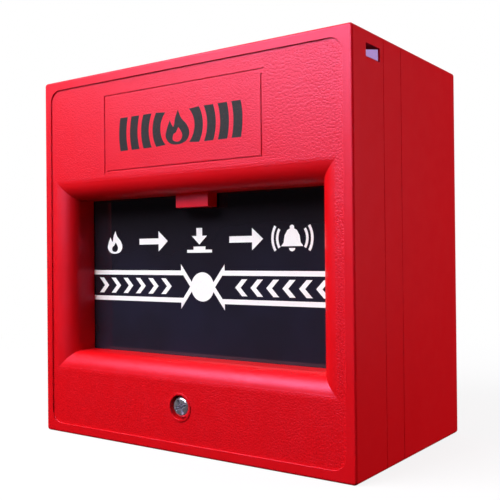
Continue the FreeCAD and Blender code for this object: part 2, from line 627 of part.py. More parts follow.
def lock_screw():
    """The captive M2.5 screw that holds the cover's lower edge to the box, with its retaining washer."""
    travel = "lock_pitch * lock_turns"
    head = forward_rod("lock_head", "lock_head", "lock_head_height", 0, "head_seat_out", "lock_z")
    crowned = doc.addObject("Part::Fillet", "lock_head_crown")
    doc.recompute()
    crowned.Base = head
    head_top = "head_seat_out + lock_head_height"
    crown = number("lock_crown")
    rim = [n for n, edge in enumerate(head.Shape.Edges, start=1) if lies_at(edge, -number(head_top))]
    crowned.Edges = [(n, crown, crown) for n in rim]
    length = "lock_length + shank_bite"
    shank = forward_rod("lock_shank", "lock_shank", length, 0, "head_seat_out - lock_length", "lock_z")
    recess = cross_recess("lock_recess", "lock_recess", "lock_recess_depth", 0, head_top, "lock_z")
    node(cut("lock_screw", fuse("lock_screw_solid", crowned, shank), recess), "cover_screw")
    washer_out = f"lock_tube_out - {travel} - washer_play - washer_thick"
    disc = forward_rod("washer_disc", "washer_radius", "washer_thick", 0, washer_out, "lock_z")
    bore_length = "washer_thick + 2 * overlap"
    bore = forward_rod("washer_hole", "washer_bore", bore_length, 0, f"{washer_out} - overlap", "lock_z")
    node(cut("washer", disc, bore), "screw_washer")


# ---- the back box and what it holds ----

def back_box():
    """Red moulded box: rear wall on the wall, posts for board, bracket and cover screw, and hinge beads."""
    body = new_body("back_box")
    block = rounded_rectangle(front_sketch(body, "box_square", 0), "side", "side", "corner_radius")
    pad(body, block, BOX_FRONT)
    round_edges(body, "box_edges", "edge_radius", lambda edge: lies_at(edge, 0))
    hollow = rectangle(front_sketch(body, "box_hollow", BOX_FRONT), INSIDE, INSIDE)
    pocket(body, hollow, f"{BOX_FRONT} - base_wall")
    past = "side + 4 * overshoot"
    groove_place = front_sketch(body, "line_outer", "line_out + line_width")
    groove = rounded_rectangle(groove_place, past, past, "corner_radius")
    sunk = "side - 2 * line_depth"
    inner = rounded_rectangle(front_sketch(body, "line_inner", "line_out"), sunk, sunk, "corner_radius")
    pocket(body, groove, "line_width")
    pad(body, inner, "line_width")
    relieve = rectangle(front_sketch(body, "box_relief", BOX_FRONT), INSIDE, INSIDE)
    pocket(body, relieve, f"{BOX_FRONT} - base_wall")
    locating_tongue(body)
    posts(body)
    for side, sign in SIDES:
        fixing = front_sketch(body, f"fixing_{side}", "base_wall + overshoot", f"{sign}fixing_spacing / 2", 0)
        pocket(body, slot(fixing, "fixing_length", "fixing_width"), "base_wall + 2 * overshoot")
    entry = circle(front_sketch(body, "cable_hole", "base_wall + overshoot", 0, "cable_z"), "cable_hole")
    pocket(body, entry, "base_wall + 2 * overshoot")
    for side, sign in SIDES:
        hinge_bead(body, side, sign)
    return body


def locating_tongue(body):
    """A thin lip round the sides and bottom of the box mouth that centres the closed cover."""
    back = f"{BOX_FRONT} - tongue_root"
    lip = f"({INSIDE}) / 2 - tongue_gap - tongue / 2"
    foot = f"({INSIDE}) / 2 + foot_bite - foot_width / 2"
    for side, sign in SIDES:
        strip_place = front_sketch(body, f"tongue_{side}", back, f"{sign}({lip})", "tongue_z")
        pad(body, rectangle(strip_place, "tongue", "tongue_length"), "tongue_root + tongue_rise")
        foot_place = front_sketch(body, f"tongue_foot_{side}", back, f"{sign}({foot})", "tongue_z")
        pad(body, rectangle(foot_place, "foot_width", "tongue_length"), "tongue_root - foot_drop")
    strip_place = front_sketch(body, "tongue_bottom", back, 0, f"-({lip})")
    pad(body, rectangle(strip_place, "tongue_length", "tongue"), "tongue_root + tongue_rise")
    foot_place = front_sketch(body, "tongue_foot_bottom", back, 0, f"-({foot})")
    pad(body, rectangle(foot_place, "tongue_length", "foot_width"), "tongue_root - foot_drop")


def post(body, name, radius, top, bore, bore_depth, x, z):
    """A round post on the rear wall with a blind hole in its front end."""
    solid = circle(front_sketch(body, name, "base_wall - overlap", x, z), radius)
    pad(body, solid, f"{top} - base_wall + overlap")
    hole = circle(front_sketch(body, f"{name}_hole", top, x, z), bore)
    pocket(body, hole, bore_depth)


def posts(body):
    """Four posts for the board, two for the switch bracket and one for the cover screw's insert."""
    for side, sign in SIDES:
        for level, up in LEVELS:
            x, z = f"{sign}board_screw_x", f"board_z + {up}board_screw_z"
            label = f"board_post_{side}_{level}"
            post(body, label, "board_post", "board_out", "board_thread", "board_thread_length", x, z)
        label = f"bracket_post_{side}"
        bore_depth = "bracket_thread_length + overshoot"
        x, z = f"{sign}bracket_screw_x", "bracket_screw_z"
        post(body, label, "bracket_post", "bracket_out", "bracket_thread", bore_depth, x, z)
    bore_depth = "insert_length + insert_room"
    post(body, "lock_post", "lock_boss", "lock_boss_out", "insert_radius", bore_depth, 0, "lock_z")
    relief_place = front_sketch(body, "lock_tip_relief", "lock_boss_out", 0, "lock_z")
    pocket(body, circle(relief_place, "insert_bore + tip_gap"), "insert_length + tip_room")


def hinge_bead(body, side, sign):
    """A quarter-round bead under the front edge of the top wall, which the cover's hook wraps."""
    start = f"{sign}hook_x - bead_width / 2"
    bead = sketch_on(body, f"bead_{side}", "YZ_Plane", "-seam_out", "side / 2", start)
    radius = number("bead")
    front = number("seam_gap / 2")
    top = -number("wall - bead_root")
    ring = Part.Circle(FreeCAD.Vector(0, 0, 0), FreeCAD.Vector(0, 0, 1), radius)
    front_angle = -math.acos(front / radius)
    back_angle = math.asin(top / radius)
    arc = bead.addGeometry(Part.ArcOfCircle(ring, front_angle, back_angle), False)
    back_point = FreeCAD.Vector(radius * math.cos(back_angle), top, 0)
    corner = FreeCAD.Vector(front, top, 0)
    low_point = FreeCAD.Vector(front, radius * math.sin(front_angle), 0)
    bead.addGeometry(Part.LineSegment(back_point, corner), False)
    bead.addGeometry(Part.LineSegment(corner, low_point), False)
    bead.addConstraint(Sketcher.Constraint("Coincident", arc, 3, -1, 1))
    bead.addConstraint(Sketcher.Constraint("Coincident", arc, 2, arc + 1, 1))
    bead.addConstraint(Sketcher.Constraint("Coincident", arc + 1, 2, arc + 2, 1))
    bead.addConstraint(Sketcher.Constraint("Coincident", arc + 2, 2, arc, 1))
    bead.addConstraint(Sketcher.Constraint("Horizontal", arc + 1))
    bead.addConstraint(Sketcher.Constraint("Vertical", arc + 2))
    constrain(bead, "ring", "bead", "Radius", arc)
    pad(body, bead, "bead_width")


def screw_insert():
    """Brass insert in the box's lower post that takes the cover screw."""
    out = "lock_boss_out - insert_sink - insert_length"
    sleeve = forward_rod("insert_sleeve", "insert_radius - fit", "insert_length", 0, out, "lock_z")
    length = "insert_length + 2 * overshoot"
    bore = forward_rod("insert_hole", "insert_bore", length, 0, f"{out} - overshoot", "lock_z")
    return node(cut("insert", sleeve, bore), "screw_insert")


def cable_grommet():
    """Soft ring that lines the cable hole, a little short of the back face."""
    length = "base_wall - grommet_sink"
    plug = forward_rod("grommet_plug", "cable_hole - fit", length, 0, "grommet_sink", "cable_z")
    rim = "cable_hole + grommet_rim"
    flange = forward_rod("grommet_flange", rim, "grommet_rim_thick", 0, "base_wall", "cable_z")
    bore_length = "base_wall + grommet_rim_thick + 2 * overshoot"
    bore = forward_rod("grommet_bore", "cable_bore", bore_length, 0, "-overshoot", "cable_z")
    return node(cut("grommet", fuse("grommet_solid", plug, flange), bore), "cable_grommet")


def tapping_screws(label, radius, thread, length, head_out, spots):
    """A set of equal pan-head tapping screws whose heads sit at `head_out` and point into the posts."""
    head_height = f"{radius} * head_share"
    screws = []
    for count, (x, z) in enumerate(spots):
        head = forward_rod(f"{label}_head_{count}", radius, head_height, x, head_out, z)
        reach = f"{length} + shank_bite"
        shank = forward_rod(f"{label}_shank_{count}", f"{thread} - fit", reach, x, f"{head_out} - {length}", z)
        arm, top = f"{radius} * recess_share", f"{head_out} + {head_height}"
        recess = cross_recess(f"{label}_recess_{count}", arm, "recess_depth", x, top, z)
        screws.append(cut(f"{label}_{count}", fuse(f"{label}_solid_{count}", head, shank), recess))
    return node(group(f"{label}_set", *screws), label)


def board_spots():
    """The places of the board's four screws."""
    return [(f"{a}board_screw_x", f"board_z + {b}board_screw_z") for a in ("-", "") for b in ("-", "")]


def bracket_spots():
    """The places of the bracket's two screws."""
    return [(f"{a}bracket_screw_x", "bracket_screw_z") for a in ("-", "")]


def circuit_board():
    """The board on its four posts, with its screws."""
    laminate = box("board_sheet", "board_width", "board_thick", "board_height", 0, "board_out", "board_z")
    holes = []
    for count, (x, z) in enumerate(board_spots()):
        length = "board_thick + 2 * overshoot"
        holes.append(forward_rod(f"board_hole_{count}", "board_hole", length, x, "board_out - overshoot", z))
    node(cut("board", laminate, *holes), "circuit_board")
    length = "board_thread_length"
    tapping_screws("board_screws", "board_head", "board_thread", length, BOARD_FRONT, board_spots())


BOARD_FRONT = "board_out + board_thick"
CHIPS = {
    # width, depth and height, then x and the height above the board's middle
    "logic_chip": (9, 1.6, 6, -14, 10),
    "bridge_chip": (5, 1.5, 4, 13, 12),
    "relay_chip": (6, 2.4, 4.4, -14, 1),
}


def board_components():
    """Chips and a capacitor on the board's front, as one group of separate solids."""
    pieces = []
    for name, (width, depth, height, x, rise) in CHIPS.items():
        pieces.append(box(name, width, depth, height, x, BOARD_FRONT, f"board_z + {rise}"))
    z = "board_z + capacitor_z"
    can = forward_rod("capacitor", "capacitor_radius", "capacitor_height", "capacitor_x", BOARD_FRONT, z)
    return node(group("board_parts", *pieces, can), "board_components")


def terminal_block():
    """Four-way screw terminal: housing, screws reached from the front and brass clamps entered from below."""
    width = "ways * way_pitch + 2 * block_cheek"
    block = box("block_solid", width, "block_depth", "block_height", 0, BOARD_FRONT, "block_z")
    front = f"{BOARD_FRONT} + block_depth"
    screw_z = "block_z + way_hole_rise"
    bottom = f"{front} - way_hole_depth"
    head_out = f"{front} - way_head_sink - way_head_height"
    hole_length = "way_hole_depth + overshoot"
    stem_length = "way_hole_depth - way_head_sink - way_head_height + overlap"
    mouth_out, mouth_z = f"{BOARD_FRONT} + mouth_rise", "block_z - mouth_drop"
    clamp_out, clamp_z = f"{BOARD_FRONT} + clamp_rise", "block_z - clamp_drop"
    throat_width, throat_depth = "clamp_width - 2 * clamp_wall", "clamp_depth - 2 * clamp_wall"
    cutters = []
    screws = []
    clamps = []
    for way in range(int(number("ways"))):
        x = f"way_pitch * ({way} - (ways - 1) / 2)"
        cutters.append(forward_rod(f"way_hole_{way}", "way_hole", hole_length, x, bottom, screw_z))
        cutters.append(box(f"mouth_{way}", "mouth_width", "mouth_depth", "block_height", x, mouth_out, mouth_z))
        head = forward_rod(f"way_head_{way}", "way_head", "way_head_height", x, head_out, screw_z)
        stem = forward_rod(f"way_stem_{way}", "way_stem", stem_length, x, bottom, screw_z)
        slot_out = f"{front} - way_head_sink - way_slot_depth"
        blade = box(f"way_slot_{way}", "2 * way_hole", "overshoot", "way_slot", x, slot_out, screw_z)
        screws.append(cut(f"way_screw_{way}", fuse(f"way_screw_solid_{way}", head, stem), blade))
        cage = box(f"clamp_block_{way}", "clamp_width", "clamp_depth", "clamp_height", x, clamp_out, clamp_z)
        throat_height, throat_out = "clamp_height + 2 * overshoot", f"{clamp_out} + clamp_wall"
        throat = box(f"clamp_throat_{way}", throat_width, throat_depth, throat_height, x, throat_out, clamp_z)
        clamps.append(cut(f"clamp_{way}", cage, throat))
    node(cut("block", block, *cutters), "terminal_block")
    node(group("terminal_screw_set", *screws), "terminal_screws")
    node(group("clamp_set", *clamps), "terminal_clamps")


def resistor(label, z):
    """An axial resistor lying along X, its leads bent down to the board."""
    x = "resistor_x"
    lie = f"{BOARD_FRONT} + resistor_rise"
    length = "2 * resistor_half - resistor_cap_length"
    barrel = cross_rod(f"{label}_barrel", "resistor_waist", length, f"{x} - ({length}) / 2", lie, z)
    lead = cross_rod(f"{label}_lead", "lead_radius", "2 * lead_reach", f"{x} - lead_reach", lie, z)
    pieces = [barrel, lead]
    for side, sign in SIDES:
        cap_x = f"{x} - resistor_half" if sign else f"{x} + resistor_half - resistor_cap_length"
        pieces.append(cross_rod(f"{label}_cap_{side}", "resistor_cap", "resistor_cap_length", cap_x, lie, z))
        leg_x = f"{x} + {sign}lead_reach"
        pieces.append(forward_rod(f"{label}_leg_{side}", "lead_radius", "resistor_rise", leg_x, BOARD_FRONT, z))
        bend = bind(doc.addObject("Part::Sphere", f"{label}_bend_{side}"), Radius="lead_radius")
        pieces.append(place(bend, leg_x, lie, z))
    return node(fuse(f"{label}_whole", *pieces), label)


def switch_bracket():
    """Black moulded bracket on two tall posts, whose upright web carries the microswitch."""
    z = "bracket_screw_z"
    plate = box("bracket_plate", "bracket_width", "bracket_thick", "bracket_height", 0, "bracket_out", z)
    web_length = "switch_out + switch_depth - bracket_out"
    web = box("bracket_web", "web_width", web_length, "web_thick", 0, "bracket_out", "web_z + web_thick / 2")
    holes = []
    for count, (x, z) in enumerate(bracket_spots()):
        length, start = "bracket_thick + 2 * overshoot", "bracket_out - overshoot"
        holes.append(forward_rod(f"bracket_hole_{count}", "bracket_hole", length, x, start, z))
    for side, sign in SIDES:
        x, length, start = f"{sign}switch_screw_x", "web_thick + 2 * overshoot", "web_z - overshoot"
        holes.append(upright_rod(f"web_hole_{side}", "web_hole", length, x, "switch_screw_out", start))
    node(cut("bracket", fuse("bracket_solid", plate, web), *holes), "switch_bracket")
    head_out = "bracket_out + bracket_thick"
    length = "bracket_thread_length"
    tapping_screws("bracket_screws", "bracket_head", "bracket_thread", length, head_out, bracket_spots())


SWITCH_LOW = "web_z + web_thick"
CASE_THICK = "switch_thick - lid_thick"
SWITCH_FRONT = "switch_out + switch_depth"
BLADE_Z = "web_z + web_thick + blade_rise"
TERMINALS = ("-terminal_pitch", "0", "terminal_pitch")


def switch_case():
    """The microswitch's case and lid, with the ears for the lever pin on their front."""
    case_z = f"{SWITCH_LOW} + ({CASE_THICK}) / 2"
    case = box("case_solid", "switch_width", "switch_depth", CASE_THICK, 0, "switch_out", case_z)
    lid_z = f"{SWITCH_LOW} + {CASE_THICK} + lid_thick / 2"
    lid = box("lid_solid", "switch_width", "switch_depth", "lid_thick", 0, "switch_out", lid_z)
    ear = ("ear_side", "ear_side", "ear_thick", "pivot_x", f"{SWITCH_FRONT} - overlap")
    ear_low = box("ear_low", *ear, f"{SWITCH_LOW} + ear_thick / 2")
    ear_high = box("ear_high", *ear, f"{lid_z} + lid_thick / 2 - ear_thick / 2")
    chamber_out = f"{SWITCH_FRONT} - chamber_wall - chamber_depth"
    chamber_z = f"{SWITCH_LOW} + {CASE_THICK} - chamber_height / 2"
    chamber = box("chamber", "chamber_width", "chamber_depth", "chamber_height", 0, chamber_out, chamber_z)
    bore_length, bore_out = "chamber_wall + overlap + overshoot", f"{SWITCH_FRONT} - chamber_wall - overlap"
    bore_radius = "plunger_radius + slide_fit"
    bore = forward_rod("plunger_bore", bore_radius, bore_length, "plunger_x", bore_out, BLADE_Z)
    case_cutters = [chamber, bore]
    lid_cutters = []
    for side, sign in SIDES:
        hole = ("case_hole", "switch_thick + 2 * overshoot", f"{sign}switch_screw_x", "switch_screw_out")
        case_cutters.append(upright_rod(f"case_hole_{side}", *hole, f"{SWITCH_LOW} - overshoot"))
        lid_cutters.append(upright_rod(f"lid_hole_{side}", *hole, f"{SWITCH_LOW} - overshoot"))
    for count, x in enumerate(TERMINALS):
        way = ("terminal_width + 2 * fit", "terminal_root + fit + overshoot", "terminal_thick + 2 * fit")
        case_cutters.append(box(f"terminal_way_{count}", *way, x, "switch_out - overshoot", BLADE_Z))
    pin_hole = "pin_radius + fit"
    low_start, high_start = f"{SWITCH_LOW} - overlap", f"{lid_z} - lid_thick / 2 - overlap"
    low_length, high_length = "ear_thick + 2 * overlap", "lid_thick + 2 * overlap"
    case_cutters.append(upright_rod("case_pin_hole", pin_hole, low_length, "pivot_x", "pivot_out", low_start))
    lid_cutters.append(upright_rod("lid_pin_hole", pin_hole, high_length, "pivot_x", "pivot_out", high_start))
    node(cut("case", fuse("case_whole", case, ear_low), *case_cutters), "switch_body")
    node(cut("lid", fuse("lid_whole", lid, ear_high), *lid_cutters), "switch_lid")
    pin_low = f"{SWITCH_LOW} + pin_inset"
    pin_length = "switch_thick - 2 * pin_inset"
    node(upright_rod("lever_pin_rod", "pin_radius", pin_length, "pivot_x", "pivot_out", pin_low), "lever_pin")


def switch_inside():
    """Plunger, snap blade, terminals and the two screws through the case."""
    back = f"{SWITCH_FRONT} - plunger_root"
    rod = forward_rod("plunger_rod", "plunger_radius", f"plunger_out - ({back})", "plunger_x", back, BLADE_Z)
    seat = f"{back} + slide_fit"
    flange = forward_rod("plunger_collar", "plunger_flange", "plunger_flange_thick", "plunger_x", seat, BLADE_Z)
    node(fuse("plunger_whole", rod, flange), "switch_plunger")
    blade_out = f"{SWITCH_FRONT} - blade_depth"
    node(box("blade_strip", "blade_length", "blade_thick", "blade_width", 0, blade_out, BLADE_Z), "snap_blade")
    tabs = []
    for count, x in enumerate(TERMINALS):
        length = "terminal_reach + terminal_root"
        start = "switch_out - terminal_reach"
        tabs.append(box(f"terminal_{count}", "terminal_width", length, "terminal_thick", x, start, BLADE_Z))
    node(group("terminal_set", *tabs), "switch_terminals")
    screws = []
    top = f"{SWITCH_LOW} + switch_thick"
    for side, sign in SIDES:
        x, out = f"{sign}switch_screw_x", "switch_screw_out"
        head = upright_rod(f"case_screw_head_{side}", "case_head", "case_head_height", x, out, top)
        length, start = "case_screw_length + shank_bite", f"{top} - case_screw_length"
        shank = upright_rod(f"case_screw_shank_{side}", "web_hole - fit", length, x, out, start)
        notch = ("2 * case_head + 2 * bite", "case_slot", "overshoot", x, f"{out} - case_slot / 2")
        slot_cut = box(f"case_screw_slot_{side}", *notch, f"{top} + case_head_height")
        screws.append(cut(f"case_screw_{side}", fuse(f"case_screw_solid_{side}", head, shank), slot_cut))
    node(group("case_screw_set", *screws), "switch_screws")


def switch_lever():
    """Thin steel lever on the pin: its tip waits under the pusher, its root over the plunger."""
    low = f"{SWITCH_LOW} + lever_rise"
    barrel = upright_rod("lever_barrel", "pin_radius + lever_thick", "lever_width", "pivot_x", "pivot_out", low)
    arm = doc.addObject("Part::Box", "lever_arm")
    bind(arm, Length="lever_length", Width="lever_thick", Height="lever_width")
    turn = FreeCAD.Rotation(FreeCAD.Vector(0, 0, 1), -number("lever_rest"))
    pivot = FreeCAD.Vector(number("pivot_x"), -number("pivot_out"), number(low))
    aside = FreeCAD.Vector(0, -number("pin_radius + lever_thick / 2"), 0)
    arm.Placement = FreeCAD.Placement(pivot + turn.multVec(aside), turn)
    bore_length, start = "lever_width + 2 * overshoot", f"{low} - overshoot"
    bore = upright_rod("lever_bore", "pin_radius + slide_fit", bore_length, "pivot_x", "pivot_out", start)
    return node(cut("lever", fuse("lever_whole", barrel, arm), bore), "switch_lever")


def switch_wires():
    """Three insulated leads that bend from the switch's terminals down to the board."""
    wires = []
    lie = FreeCAD.Rotation(FreeCAD.Vector(0, -1, 0), FreeCAD.Vector(0, 0, 1), FreeCAD.Vector(-1, 0, 0), "ZXY")
    for count, x in enumerate(TERMINALS):
        bend = doc.addObject("Part::Torus", f"wire_{count}")
        bind(bend, Radius1="wire_bend", Radius2="wire_radius", Angle3="90")
        place(bend, x, f"{BOARD_FRONT} + wire_gap", f"{BLADE_Z} + terminal_thick / 2 + wire_gap")
        bend.Placement.Rotation = lie
        wires.append(bend)
    return node(group("wire_set", *wires), "switch_wires")


fill_sheet()
front_cover()
inner_frame()
frame_screws()
pane()
pane_carrier()
pane_springs()
lock_screw()
back_box()
screw_insert()
cable_grommet()
circuit_board()
board_components()
terminal_block()
resistor("line_resistor", "board_z + 15")
resistor("alarm_resistor", "board_z + 10.6")
switch_bracket()
switch_case()
switch_inside()
switch_lever()
switch_wires()
doc.recompute()


def check_document():
    """Stops if any object failed, any cut removed nothing, or any sub-part has no valid solid."""
    faults = []
    for thing in doc.Objects:
        if {"Invalid", "Error"} & set(thing.State):
            faults.append(f"{thing.Name}: {thing.State}")
        if thing.TypeId == "PartDesign::Pocket" and not thing.State and thing.BaseFeature:
            if thing.Shape.Volume > thing.BaseFeature.Shape.Volume - 1e-6:
                faults.append(f"{thing.Name} cuts nothing")
    for part in nodes:
        if part.Shape.isNull() or not part.Shape.isValid() or not part.Shape.Solids:
            faults.append(f"{part.Label} has no valid solid")
    if faults:
        raise RuntimeError("; ".join(faults))


check_document()
os.makedirs("parts", exist_ok=True)
for part in nodes:
    part.Shape.exportStep(f"parts/{part.Label}.step")
    print(part.Label, len(part.Shape.Solids), round(part.Shape.Volume, 1))
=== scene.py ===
"""Looks of the manual call point: finishes, printed marks, small hardware, light and camera.

Metres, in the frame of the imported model: X runs right as seen from the front, Y towards the wall and
Z up, with the origin on the back face. Sizes are written in millimetres times MM.
"""
import json
import math

import bmesh
import bpy
from mathutils import Matrix, Quaternion, Vector


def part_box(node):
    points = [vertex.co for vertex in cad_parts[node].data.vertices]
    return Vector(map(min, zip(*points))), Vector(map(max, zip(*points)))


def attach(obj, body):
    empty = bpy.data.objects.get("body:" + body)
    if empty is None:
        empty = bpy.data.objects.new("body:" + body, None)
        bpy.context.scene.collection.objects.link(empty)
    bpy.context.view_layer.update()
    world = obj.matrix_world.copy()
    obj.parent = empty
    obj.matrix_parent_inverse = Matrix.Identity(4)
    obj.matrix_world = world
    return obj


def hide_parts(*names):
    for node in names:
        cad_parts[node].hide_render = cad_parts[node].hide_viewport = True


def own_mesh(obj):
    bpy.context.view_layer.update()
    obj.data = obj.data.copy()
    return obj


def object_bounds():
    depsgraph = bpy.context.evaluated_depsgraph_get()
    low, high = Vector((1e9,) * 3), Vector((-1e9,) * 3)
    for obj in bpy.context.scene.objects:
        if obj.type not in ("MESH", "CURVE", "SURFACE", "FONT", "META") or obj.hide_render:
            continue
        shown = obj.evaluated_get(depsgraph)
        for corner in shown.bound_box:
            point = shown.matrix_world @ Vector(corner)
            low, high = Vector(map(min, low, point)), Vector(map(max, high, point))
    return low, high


MM = 0.001
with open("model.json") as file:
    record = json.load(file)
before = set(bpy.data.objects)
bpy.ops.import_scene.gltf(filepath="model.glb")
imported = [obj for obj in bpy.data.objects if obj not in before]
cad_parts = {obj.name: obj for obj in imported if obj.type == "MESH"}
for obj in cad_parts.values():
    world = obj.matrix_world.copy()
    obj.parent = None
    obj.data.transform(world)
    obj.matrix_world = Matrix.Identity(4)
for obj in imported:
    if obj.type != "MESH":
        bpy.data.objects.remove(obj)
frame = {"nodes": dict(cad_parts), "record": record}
nodes = frame["nodes"]
cad_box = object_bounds()

MIDDLE = Vector((0, -25, 0)) * MM
PANE_LOW, PANE_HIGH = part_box("call_pane")
BOARD_LOW, BOARD_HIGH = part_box("circuit_board")
BOARD_FACE = BOARD_LOW.y
BOARD_Z = (BOARD_LOW.z + BOARD_HIGH.z) / 2
PANEL_SINK = 0.3 * MM
PANEL_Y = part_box("front_cover")[0].y + PANEL_SINK
INK = 0.03 * MM


# ---- node materials ----

class Finish:
    """A node material built up step by step; every texture follows the piece, not the world."""

    def __init__(self, name):
        self.material = bpy.data.materials.new(name)
        self.material.use_nodes = True
        self.tree = self.material.node_tree
        self.shader = self.tree.nodes["Principled BSDF"]
        self.place = self.add("TexCoord").outputs["Object"]

    def add(self, kind, inputs=None, **settings):
        node = self.tree.nodes.new("ShaderNode" + kind)
        for key, value in settings.items():
            setattr(node, key, value)
        for key, value in (inputs or {}).items():
            self.put(node, key, value)
        return node

    def put(self, node, key, value):
        socket = node.inputs[key]
        if isinstance(value, bpy.types.NodeSocket):
            self.tree.links.new(value, socket)
        else:
            socket.default_value = value

    def set(self, **inputs):
        """Principled inputs, written with underscores for spaces."""
        for key, value in inputs.items():
            self.put(self.shader, key.replace("_", " "), value)

    def noise(self, size, detail=2.0, stretch=(1, 1, 1)):
        """Noise whose features are about `size` across, 0 to 1."""
        spread = self.add("Mapping", {"Vector": self.place, "Scale": stretch})
        inputs = {"Vector": spread.outputs["Vector"], "Scale": 1 / size, "Detail": detail}
        return self.add("TexNoise", inputs).outputs["Fac"]

    def cells(self, size, jitter=1.0):
        """Distance to the nearest cell border, for pebbled leather-like grain."""
        inputs = {"Vector": self.place, "Scale": 1 / size, "Randomness": jitter}
        return self.add("TexVoronoi", inputs, feature="DISTANCE_TO_EDGE").outputs["Distance"]

    def ramp(self, value, low, high, start=0.0, end=1.0):
        inputs = {"Value": value, "From Min": low, "From Max": high, "To Min": start, "To Max": end}
        return self.add("MapRange", inputs, interpolation_type="SMOOTHSTEP").outputs["Result"]

    def calc(self, operation, first, second):
        node = self.add("Math", operation=operation)
        self.put(node, 0, first)
        self.put(node, 1, second)
        return node.outputs["Value"]

    def blend(self, share, first, second):
        inputs = {"Fac": share, "Color1": first, "Color2": second}
        return self.add("MixRGB", inputs).outputs["Color"]

    def axis(self, letter):
        return self.add("SeparateXYZ", {"Vector": self.place}).outputs[letter]

    def soft_edges(self, radius):
        """Surface normal with every edge slightly rounded."""
        return self.add("Bevel", {"Radius": radius}, samples=4).outputs["Normal"]

    def on_edge(self, rounded):
        """How much a point lies on a rounded edge, 0 to 1."""
        flat = self.add("NewGeometry").outputs["Normal"]
        product = self.add("VectorMath", operation="DOT_PRODUCT")
        self.put(product, 0, rounded)
        self.put(product, 1, flat)
        return self.ramp(product.outputs["Value"], 0.99, 0.80)

    def bump(self, height, depth, normal=None):
        """Normal bent by a height map whose full step is `depth` high."""
        inputs = {"Height": height, "Distance": depth}
        if normal is not None:
            inputs["Normal"] = normal
        return self.add("Bump", inputs).outputs["Normal"]


def tone(red, green, blue):
    return (red, green, blue, 1.0)


def scaled(colour, share):
    """The colour made darker or lighter, held inside the range of a colour."""
    return tone(*(min(1.0, part * share) for part in colour[:3]))


def plastic(name, colour, roughness, grain=0.25 * MM, grain_depth=0.006 * MM, mottle=0.08):
    """Moulded plastic: faint mottling, fine tool texture and edges rubbed a little lighter."""
    finish = Finish(name)
    rounded = finish.soft_edges(0.15 * MM)
    patches = finish.noise(14 * MM, 3)
    base = finish.blend(patches, scaled(colour, 1 - mottle), scaled(colour, 1 + mottle))
    wear = finish.ramp(finish.noise(1.5 * MM), 0.40, 0.65, 0.05, 0.35)
    rubbed = finish.calc("MULTIPLY", finish.on_edge(rounded), wear)
    whitening = 0.25
    lighter = tone(*(part + whitening * (1 - part) for part in colour[:3]))
    finish.set(
        Base_Color=finish.blend(rubbed, base, lighter),
        Roughness=finish.ramp(finish.noise(3 * MM, 3), 0.3, 0.7, roughness - 0.05, roughness + 0.06),
        Normal=finish.bump(finish.noise(grain), grain_depth, rounded),
    )
    return finish.material


def metal(name, colour, roughness, brush=(1, 1, 1), stain=0.12, shine=0.65):
    """Plated or bare metal, a little dulled, with fine marks and a slightly uneven tone."""
    finish = Finish(name)
    rounded = finish.soft_edges(0.08 * MM)
    tarnish = finish.noise(1.2 * MM, 3)
    marks = finish.noise(0.12 * MM, 2, brush)
    finish.set(
        Base_Color=finish.blend(tarnish, scaled(colour, 1 - stain), scaled(colour, 1 + stain)),
        Metallic=shine,
        Roughness=finish.ramp(marks, 0.3, 0.7, roughness * 0.75, roughness * 1.3),
        Normal=finish.bump(marks, 0.004 * MM, rounded),
    )
    return finish.material


def red_shell():
    """Red moulding: smooth sides and rims, with leather-like grain only on the sunk front panel."""
    finish = Finish("red_shell")
    red = tone(0.72, 0.0030, 0.0055)
    scuffed_red = tone(0.95, 0.25, 0.28)
    rounded = finish.soft_edges(0.12 * MM)
    depth = finish.axis("Y")
    reach = 0.1 * MM
    in_front = finish.ramp(depth, PANEL_Y + reach, PANEL_Y + 0.3 * reach)
    behind_rim = finish.ramp(depth, PANEL_Y - reach, PANEL_Y - 0.3 * reach)
    on_panel = finish.calc("MULTIPLY", in_front, behind_rim)
    pebbles = finish.ramp(finish.cells(0.62 * MM), 0.0, 0.22)
    wrinkles = finish.noise(0.45 * MM, 3)
    hide = finish.calc(
        "ADD",
        finish.calc("MULTIPLY", pebbles, 0.9),
        finish.calc("MULTIPLY", wrinkles, 1.2),
    )
    smooth = finish.calc("MULTIPLY", finish.noise(0.8 * MM, 3), 0.12)
    height = finish.add("Mix", data_type="FLOAT")
    finish.put(height, 0, on_panel)
    finish.put(height, 2, smooth)
    finish.put(height, 3, hide)
    patches = finish.noise(18 * MM, 4)
    base = finish.blend(patches, scaled(red, 0.97), scaled(red, 1.03))
    wear = finish.ramp(finish.noise(1.2 * MM), 0.45, 0.7, 0.0, 0.22)
    scuffs = finish.calc("MULTIPLY", finish.on_edge(rounded), wear)
    finish.set(
        Base_Color=finish.blend(scuffs, base, scuffed_red),
        Roughness=finish.ramp(finish.noise(4 * MM, 4), 0.3, 0.7, 0.36, 0.42),
        Normal=finish.bump(height.outputs[0], 0.023 * MM, rounded),
        Specular_IOR_Level=0.5,
        # The lavender specular tint is painted light: it gives the lamp's sheen a bluish sky colour.
        Specular_Tint=tone(0.55, 0.44, 0.88),
    )
    return finish.material


